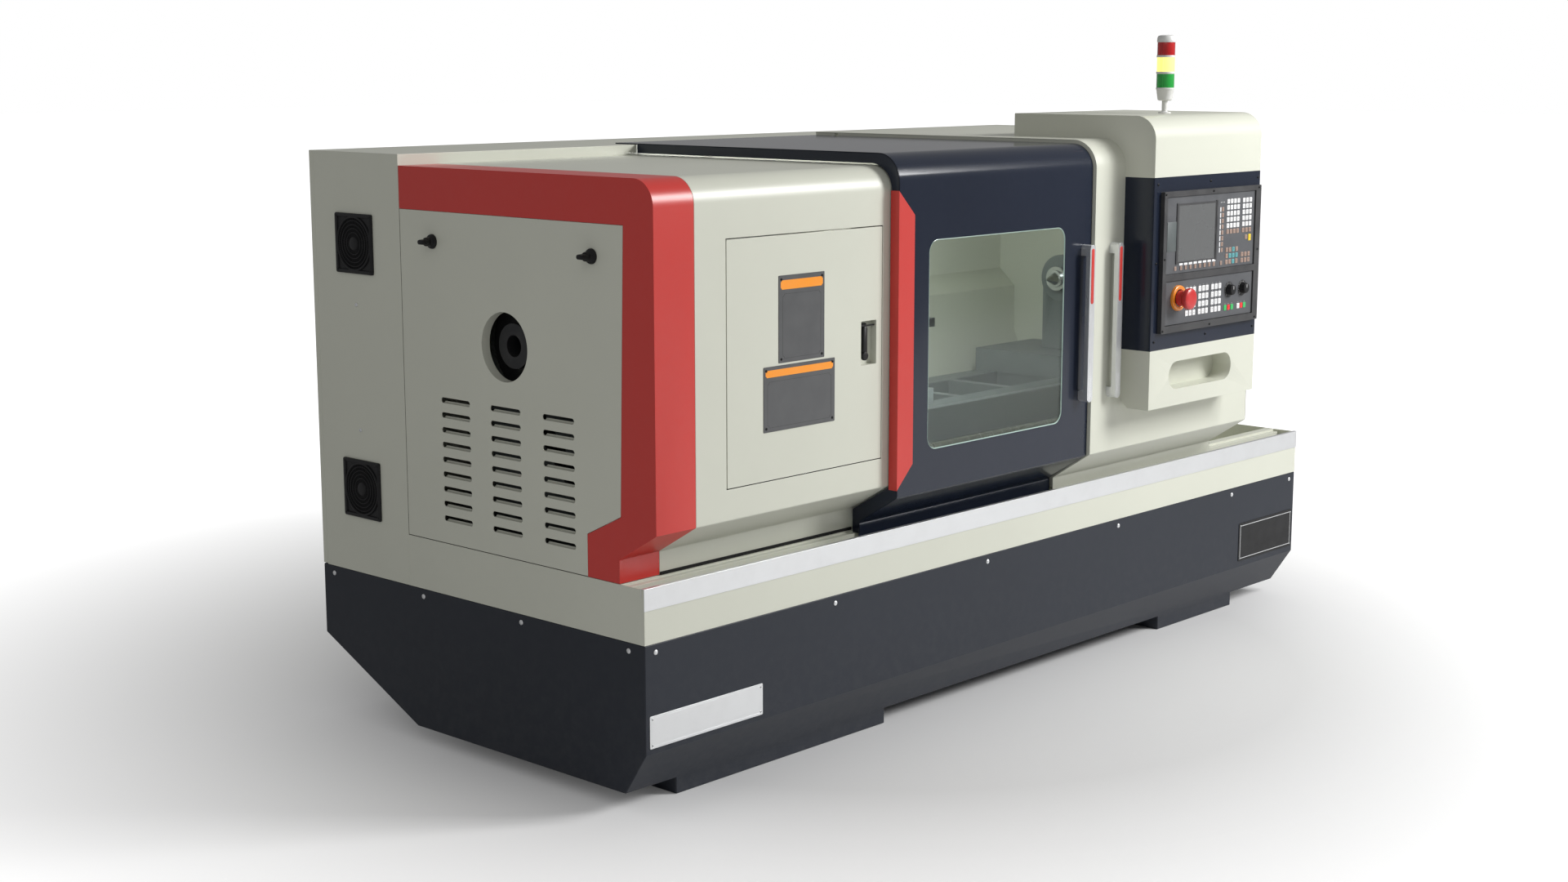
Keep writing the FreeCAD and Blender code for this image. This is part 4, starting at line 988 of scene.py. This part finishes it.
def makeKeys(prefix, groups, rise, marked=("white", "teal", "brown", "yellow")):
    marks = []
    for colour, keys in groups.items():
        shapes = [cap(x, z, w, h, rise) for x, z, w, h in keys]
        makePiece(prefix + colour.capitalize(), combined(shapes), "right_leaf", keyFinish[colour])
        if colour in marked:
            marks += [m for n, (x, z, w, h) in enumerate(keys) for m in keyMarks(x, z, w, h, rise, n)]
    if marks:
        makePiece(prefix + "Marks", combined(marks), "right_leaf", keyMark)


def spread(x0, x1, count, z0, z1, rows, size):
    return [(float(x), float(z), *size) for z in np.linspace(z0, z1, rows) for x in np.linspace(x0, x1, count)]


def makeHood():
    c, s = console, rightSkin
    hood = roundedPath([(c["hoodBack"], c["hoodTop"], 0), (c["face"], c["hoodTop"], c["hoodRadius"]),
                        (c["face"], c["high"], 0)], 24)
    sheet = foldedSheet(hood, sheetThick, c["x0"], c["x1"])
    makePiece("hoodSkin", sheet, "right_leaf", cream, bevel=0.8, stands=["console_hood"])
    saddle = roundedPath([(s["face"], c["high"], 0), (s["face"], s["top"], s["radius"]),
                          (c["hoodBack"], s["top"], 0)], 24)
    inner = besidePath(hood, 2.0)
    outline = np.vstack([inner[::-1], saddle[::-1]])[::-1]
    sides = [alongX(outline, c["x0"] + 0.2, c["x0"] + 3.0), alongX(outline, c["x1"] - 3.0, c["x1"] - 0.2),
             block(c["x0"] + 2, c["x1"] - 2, c["hoodBack"] - 3, c["hoodBack"], s["top"] + 0.2, c["hoodTop"] - 2)]
    makePiece("hoodSides", combined(sides), "right_leaf", cream)


def makeConsoleBody():
    c = console
    softened("console_box", navy, bevel=1.6, segments=3)
    softened("console_base", cream, bevel=1.6, segments=3, angle=40)
    plateScrews = [(1784.2, 1386.6), (2051.6, 1386.7), (2306.0, 1387.1), (2048.2, 952.4), (2304.0, 952.0),
                   (1784.2, 952.4), (1784.0, 1170.0)]
    heads = [screwHead((x, c["face"], z), "front", 3.6, 2.4) for x, z in plateScrews]
    makePiece("consoleScrews", combined(heads), "right_leaf", blackPlastic)


def makeBezel():
    b, c = bezel, console
    cx, cz = (b["x0"] + b["x1"]) / 2, (b["z0"] + b["z1"]) / 2
    frameShape = slab((cx, c["face"], cz), b["x1"] - b["x0"], b["z1"] - b["z0"], 3, "front",
                      [(0, 0), (0, b["rise"])], 4)
    piece = makePiece("panelBezel", frameShape, "right_leaf", bezelGrey, bevel=2.4, segments=3,
                      stands=["console_bezel"])
    cutAway(piece, block(1815.5, 2279.5, -200, c["face"] - 5, 1137.0, 1351.0),
            block(1818.5, 2279.0, -200, c["face"] - 5, 994.0, 1118.0))
    spots = [(1806.5, 1359.0), (2048.6, 1359.3), (2293.8, 1359.0), (1807.0, 1180.5), (2295.2, 1179.9),
             (1806.5, 981.5), (2047.7, 981.5), (2292.0, 981.5)]
    heads = [screwHead((x, c["face"] - b["rise"], z), "front", 3.4, 2.0) for x, z in spots]
    makePiece("bezelScrews", combined(heads), "right_leaf", blackPlastic)


def makePanel(name, node):
    rise = bezel["panelRise"]
    low, high = boxOf(node)
    centre = ((low[0] + high[0]) / 2, console["face"], (low[2] + high[2]) / 2)
    sheet = slab(centre, high[0] - low[0] - 1, high[2] - low[2] - 1, 3, "front",
                 [(0, 5.5), (0, rise - 0.4), (0.4, rise)])
    makePiece(name, sheet, "right_leaf", panelGrey, stands=[node])


def makeDisplay():
    y = console["face"]
    rise = bezel["panelRise"]
    makePanel("displayPanel", "display_unit")
    sx0, sx1, sz0, sz1 = (screen[side] for side in ("x0", "x1", "z0", "z1"))
    scx, scz = (sx0 + sx1) / 2, (sz0 + sz1) / 2
    surround = hoop((scx, y, scz), sx1 - sx0 + 12, sz1 - sz0 + 10, 3, "front",
                    [(0, rise - 0.2), (0.6, rise + 1.2), (4.2, rise + 1.2), (6.2, rise + 0.2), (6.2, rise - 0.2)])
    rails = [slab((x, y, scz), 9, sz1 - sz0 + 14, 2, "front", [(0, rise - 0.2), (0, rise + 1.8), (1.0, rise + 2.6)])
             for x in (sx0 - 8.5, sx1 + 8.5)]
    makePiece("screenSurround", combined([surround] + rails), "right_leaf", bezelGrey)
    face = slab((scx, y, scz), sx1 - sx0, sz1 - sz0, 1.5, "front",
                [(0, rise - 0.2), (0, rise + 0.15), (0.2, rise + 0.3)])
    makePiece("screenFace", face, "right_leaf", displaySheet())
    flap = slab((1846.5, y, 1241.0), 50, 82, 2, "front", [(0, rise - 0.2), (0, rise + 0.8), (0.8, rise + 1.3)])
    makePiece("portFlap", flap, "right_leaf", coverFlap)
    small, soft = keySizes["small"], keySizes["soft"]
    white = spread(2134.7, 2189.0, 4, 1325.3, 1256.0, 5, small) + spread(2218.8, 2254.7, 3, 1325.3, 1256.7, 5, small)
    brown = spread(2134.7, 2188.0, 4, 1239.2, 1239.2, 1, small) + spread(2218.0, 2254.5, 3, 1239.0, 1239.0, 1, small)
    brown += [(2235.5, 1218.5, *small)]
    brown += spread(2106.0, 2106.0, 1, 1304.3, 1188.6, 8, soft) + spread(1896.1, 2066.6, 8, 1151.5, 1151.5, 1, soft)
    brown += [(1867.1, 1151.5, *soft), (2104.0, 1151.5, *soft)]
    brown += spread(2217.0, 2253.0, 3, 1169.2, 1152.2, 2, small)
    teal = []
    for row, z in enumerate((1187.1, 1169.7, 1152.4)):
        for column, x in enumerate(np.linspace(2133.5, 2186.6, 4)):
            (teal if column == 2 or (row == 1 and column > 0) else brown).append((float(x), z, *small))
    makeKeys("displayKeys", {"white": white, "brown": brown, "teal": teal, "yellow": [(2255.0, 1216.5, 13.5, 19.0)]},
             rise)
    tabs = [slab((float(x), y, 1162.3), 17.5, 7.0, 0.6, "front", [(0, rise - 0.1), (0, rise + 0.25)], 2)
            for x in np.linspace(1896.1, 2066.6, 8)]
    tabs += [slab((2094.8, y, float(z)), 5.0, 13.0, 0.6, "front", [(0, rise - 0.1), (0, rise + 0.25)], 2)
             for z in np.linspace(1304.3, 1188.6, 8)]
    tabs += [slab((float(x), y, 1163.0 + 161.3), 2.6, 2.6, 1.3, "front", [(0, rise - 0.1), (0, rise + 0.4)], 3)
             for x in (2095.5, 2104.0, 2112.9)]
    makePiece("softkeyTabs", combined(tabs), "right_leaf", keyFinish["white"])


def makeKeypad():
    y = console["face"]
    rise = bezel["panelRise"]
    makePanel("keypadPanel", "machine_keypad")
    large = keySizes["large"]
    white = spread(1931.5, 1968.8, 3, 1086.5, 1021.4, 4, large) + spread(1997.5, 2034.9, 3, 1086.5, 1021.4, 4, large)
    white += spread(2064.0, 2102.3, 3, 1086.5, 1021.4, 4, large) + [(2205.2, 1020.6, *large)]
    green = [(x, 1020.6, *large) for x in (2134.7, 2171.0, 2239.0)]
    red = [(x, 1020.6, *large) for x in (2152.9, 2222.1)]
    makeKeys("machineKeys", {"white": white, "green": green, "red": red}, rise)
    dots = [slab((x, y, z + 11.0), 1.8, 1.8, 0.9, "front", [(0, rise - 0.1), (0, rise + 0.3)], 2) for x, z, w,
            h in white + green + red]
    makePiece("keyLamps", combined(dots), "right_leaf", keyFinish["white"])
    low, high = boxOf("estop_button")
    ex, ez = (low[0] + high[0]) / 2, (low[2] + high[2]) / 2
    front = y - rise
    ring = turnedRing((ex, front, ez), "front", [(36, -0.5), (36, 4.5), (34.8, 7.2), (32, 8.6), (27, 8.8),
                                                 (24.6, 7.6), (23.8, 5), (23.8, -0.5)], 72)
    makePiece("stopRing", ring, "right_leaf", stopOrange)
    profile = [(20, 6.0), (21.6, 8.0), (21.8, 16), (20.6, 24), (22.5, 27.5), (27.5, 30), (29.6, 33), (30, 37),
               (29.8, 41),
               (28.4, 44.6), (25, 46.8), (19, 47.6), (10, 47.9), (0.01, 48)]
    makePiece("stopHead", turned((ex, front, ez), "front", profile, 72), "stop_button", stopRed,
              stands=["estop_button"])
    for node in ("feed_dial", "speed_dial"):
        low, high = boxOf(node)
        makeDial(node, (low[0] + high[0]) / 2, (low[2] + high[2]) / 2, front)


def makeDial(node, x, z, front):
    skirt = turned((x, front, z), "front", [(23, -0.3), (23, 0.1), (22.6, 0.25), (0.01, 0.25)], 56)
    makePiece(node + "Scale", skirt, "right_leaf", blackPlastic)
    angle = np.radians(np.linspace(-140, 140, 15) + 90)
    ticks = []
    for k, a in enumerate(angle):
        long = 4.6 if k % 2 == 0 else 2.8
        bar = np.array([[17.0, -0.4], [17.0 + long, -0.4], [17.0 + long, 0.4], [17.0, 0.4]])
        turn = np.array([[math.cos(a), -math.sin(a)], [math.sin(a), math.cos(a)]])
        flat = bar @ turn.T
        ticks.append(ringStack([onFace(flat, np.full(4, h), (x, front, z), "front") for h in (0.2, 0.4)]))
    makePiece(node + "Ticks", combined(ticks), "right_leaf", keyFinish["white"])
    # fluted knob: the radius swells and shrinks round the turn
    angle = np.linspace(0, 2 * math.pi, 96, endpoint=False)
    rings = []
    for radius, flute, rise in ((15.2, 0.0, 0.3), (15.4, 0.2, 2.0), (14.6, 0.6, 3.2), (14.3, 0.6, 13.0),
                                (13.9, 0.4, 15.4), (12.8, 0.1, 16.4), (0.02, 0.0, 16.6)):
        r = radius + flute * np.cos(18 * angle)
        rings.append(onFace(np.stack([r * np.cos(angle), r * np.sin(angle)], -1), np.full(96, rise), (x, front, z),
                            "front"))
    makePiece(node + "Knob", ringStack(rings), bodyOf[node], blackPlastic, stands=[node])
    line = slab((x, front, z + 6.2), 1.6, 10.5, 0.7, "front", [(0, 16.0), (0, 16.7)], 3)
    makePiece(node + "Pointer", line, bodyOf[node], keyFinish["white"])


makeHood()
makeConsoleBody()
makeBezel()
makeDisplay()
makeKeypad()
print("console made")


# signal tower
tower = {"glass": 25.0, "joints": (114, 160)}
lensGreen = lens("signalGreen", (0.02, 0.42, 0.06))
lensYellow = lens("signalYellow", (0.98, 0.86, 0.22), glow=1.3)
lensRed = lens("signalRed", (0.55, 0.01, 0.01))


def makeTower():
    low, high = boxOf("beacon_mount")
    x, y, z = (low[0] + high[0]) / 2, (low[1] + high[1]) / 2, low[2]
    centre = (x, y, z)
    base = turned(centre, "top", [(18, 0), (18, 2.5), (16.5, 4), (9.5, 4.5), (8, 6), (8, 35), (17.5, 36),
                                  (20.5, 38.5), (24.6, 66), (26, 67.5), (26, 71.5), (25, 72.2)], 56)
    rings = [turnedRing(centre, "top", [(26, h - 3), (26.4, h - 2), (26.4, h + 2), (26, h + 3), (24.2, h + 3),
                                        (24.2, h - 3)], 56) for h in tower["joints"]]
    lid = turned(centre, "top",
                 [(26, 199.5), (26.4, 200.5), (26.4, 206), (25.6, 213), (22.6, 217.6), (15, 219.6), (0.01, 220)], 56)
    makePiece("towerMount", combined([base, lid] + rings), "right_leaf", whitePlastic,
              stands=["beacon_mount"])
    for node, material in (("beacon_green", lensGreen), ("beacon_yellow", lensYellow), ("beacon_red", lensRed)):
        a, b = boxOf(node)
        rise = np.linspace(a[2] - z, b[2] - z, 2)
        r = tower["glass"]
        profile = [(r - 0.4, rise[0] + 0.1), (r, rise[0] + 2), (r, rise[1] - 2), (r - 0.4, rise[1] - 0.1)]
        makePiece(node + "Lens", turned(centre, "top", profile, 64), "right_leaf", material,
                  stands=[node])


makeTower()
print("signal tower made")


# working parts behind the doors
inside = {"machine_bed": (iron, 2.0), "headstock": (iron, 3.0), "spindle": (darkSteel, 0.8),
          "spindle_motor": (motorPaint, 2.0),
          "drive_belt": (rubber, 0.5), "feed_motor": (motorPaint, 2.5), "back_guard": (cream, 0.6),
          "right_guard": (cream, 0.6),
          "motor_pulley": (turnedSteel, 1.0), "carriage": (iron, 2.0), "cross_slide": (bedSteel, 1.5),
          "tool_post": (steel, 1.8),
          "turning_tools": (blackPlastic, 0.6), "ball_screw": (turnedSteel, 0.4), "tailstock": (iron, 2.5),
          "tailstock_quill": (turnedSteel, 0.6), "handwheel": (turnedSteel, 2.0), "chuck_jaw_1": (steel, 0.8),
          "chuck_jaw_2": (steel, 0.8), "chuck_jaw_3": (steel, 0.8)}

chuckBolt = {"count": 6, "circle": 62, "turn": 0.26}


def makeInside():
    for node, (material, bevel) in inside.items():
        softened(node, material, bevel=bevel)
    softened("chuck", turnedSteel, bevel=2.5, segments=3)
    c, face = chuckBolt, boxOf("chuck")[1][0]
    bolts = []
    for k in range(c["count"]):
        a = math.radians(30 + 60 * k) + c["turn"]
        centre = (face, holeAt["y"] + c["circle"] * math.sin(a), holeAt["z"] + c["circle"] * math.cos(a))
        bolts.append(turned(centre, "right", [(8, -1), (8, 0.4), (6.8, 1.0), (4.2, 1.0), (4.0, 0.3), (0.01, 0.3)],
                            24))
    makePiece("chuckBolts", combined(bolts), "main_spindle", blackPlastic)


def makeFeedMotor():
    low, high = boxOf("feed_motor")
    y, z = (low[1] + high[1]) / 2, (low[2] + high[2]) / 2
    front, back, half = low[0] + 8, high[0], (high[2] - low[2]) / 2
    # shallow cooling ribs run round the barrel between the flange and the rear cap
    ribs = [hoop((float(x), y, z), 2 * half + 5, 2 * half + 5, 12, "right",
                 [(0, -1.4), (0, 1.4), (4.0, 1.4), (4.0, -1.4)], 4)
            for x in np.linspace(front + 26, back - 34, 9)]
    flange = hoop((front + 9, y, z), 2 * half + 6, 2 * half + 6, 8, "right",
                  [(0, -5), (0, 4), (1.0, 5), (6.0, 5), (6.0, -5)], 4)
    rear = slab((back, y, z), 2 * half - 14, 2 * half - 14, 12, "right", [(0, -1), (0, 7), (3, 10)], 5)
    bolts = [screwHead((front + 14, y + a * (half - 8), z + b * (half - 8)), "right", 5.0, 5.0) for a in (-1, 1)
             for b in (-1, 1)]
    makePiece("feedMotorRibs", combined(ribs + [flange, rear] + bolts), bodyOf["feed_motor"],
              motorPaint)
    sockets = [turned((float(x), y, high[2]), "top", [(14, -1), (14, 3), (12, 4), (12, 16), (13.5, 17), (13.5, 24),
                                                      (12, 26), (8, 26), (7.6, 22), (0.01, 22)], 32)
               for x in (back - 30, back - 66)]
    makePiece("feedMotorSockets", combined(sockets), bodyOf["feed_motor"], turnedSteel)


makeInside()
makeFeedMotor()
print("working parts made")


# floor, light and camera
studio = {"floor": 0.80, "air": 0.31, "key": 480.0, "fill": 24.0, "hood": 38.0, "cabin": 7.0, "clear": (1.2, 3.4)}

camera = {"place": (-3306.7, -3491.8, 1730.0), "down": 9.99, "turn": 47.22}


def makeStudio():
    size = 60.0
    floorMesh = bpy.data.meshes.new("studioFloor")
    floorMesh.from_pydata([(-size, -size, 0), (size, -size, 0), (size, size, 0), (-size, size, 0)], [],
                          [(0, 1, 2, 3)])
    floor = bpy.data.objects.new("studioFloor", floorMesh)
    bpy.context.scene.collection.objects.link(floor)
    material, tree, shader = emptyMaterial("studioFloor")
    place = addNode(tree, "ShaderNodeTexCoord")
    grain = addNode(tree, "ShaderNodeTexNoise", Scale=0.6, Detail=3.0)
    tree.links.new(place.outputs["Object"], grain.inputs["Vector"])
    pale = studio["floor"]
    tree.links.new(mixColour(tree, grain.outputs[0], (pale * 0.98,) * 3 + (1,), (pale,) * 3 + (1,)),
                   shader.inputs["Base Color"])
    shader.inputs["Roughness"].default_value = 0.6
    # painted light: away from the machine the floor glows white for the camera alone, washing its shadow out into
    # the white backdrop
    away = addNode(tree, "ShaderNodeVectorMath", operation="LENGTH")
    tree.links.new(place.outputs["Object"], away.inputs[0])
    seen = addNode(tree, "ShaderNodeLightPath")
    white = span(tree, away.outputs["Value"], *studio["clear"], 0.0, 0.9)
    shader.inputs["Emission Color"].default_value = (1, 1, 1, 1)
    tree.links.new(times(tree, white, seen.outputs["Is Camera Ray"]), shader.inputs["Emission Strength"])
    floorMesh.materials.append(material)
    world = bpy.data.worlds.new("studioAir")
    world.use_nodes = True
    air = world.node_tree
    seen = addNode(air, "ShaderNodeLightPath")
    air.nodes["Background"].inputs[0].default_value = (1, 1, 1, 1)
    air.links.new(span(air, seen.outputs["Is Camera Ray"], 0.0, 1.0, studio["air"], 1.0),
                  air.nodes["Background"].inputs[1])
    bpy.context.scene.world = world
    for name, place, aim, wide, high, power in (
            ("keyLight", (5.0, -6.2, 4.6), (0.0, -0.5, 0.9), 2.6, 2.6, studio["key"]),
            ("hoodLight", (1.5, -2.6, 3.0), (0.6, -0.6, 1.45), 0.8, 0.8, studio["hood"]),
            ("cabinLight", (-0.2, -0.36, 1.40), (-0.2, 0.30, 1.0), 0.9, 0.12, studio["cabin"]),
            ("fillLight", (-5.2, -3.4, 4.2), (-0.6, -0.3, 0.8), 3.0, 3.0, studio["fill"])):
        lamp = bpy.data.lights.new(name, "AREA")
        lamp.shape, lamp.size, lamp.size_y, lamp.energy = "RECTANGLE", wide, high, power
        holder = bpy.data.objects.new(name, lamp)
        bpy.context.scene.collection.objects.link(holder)
        way = np.array(aim) - np.array(place)
        way /= np.linalg.norm(way)
        holder.location = place
        holder.rotation_euler = (math.acos(-way[2]), 0, math.atan2(way[1], way[0]) - math.pi / 2)


def makeCamera():
    eye = bpy.data.cameras.new("sceneCamera")
    eye.lens, eye.sensor_width = 50.0, 36.0
    eye.clip_end = 200
    holder = bpy.data.objects.new("sceneCamera", eye)
    bpy.context.scene.collection.objects.link(holder)
    holder.location = toMetres(camera["place"])
    holder.rotation_euler = (math.radians(90 - camera["down"]), 0, math.radians(-camera["turn"]))
    bpy.context.scene.camera = holder


makeStudio()
makeCamera()
bpy.context.scene.view_settings.view_transform = "Standard"
print("studio ready")
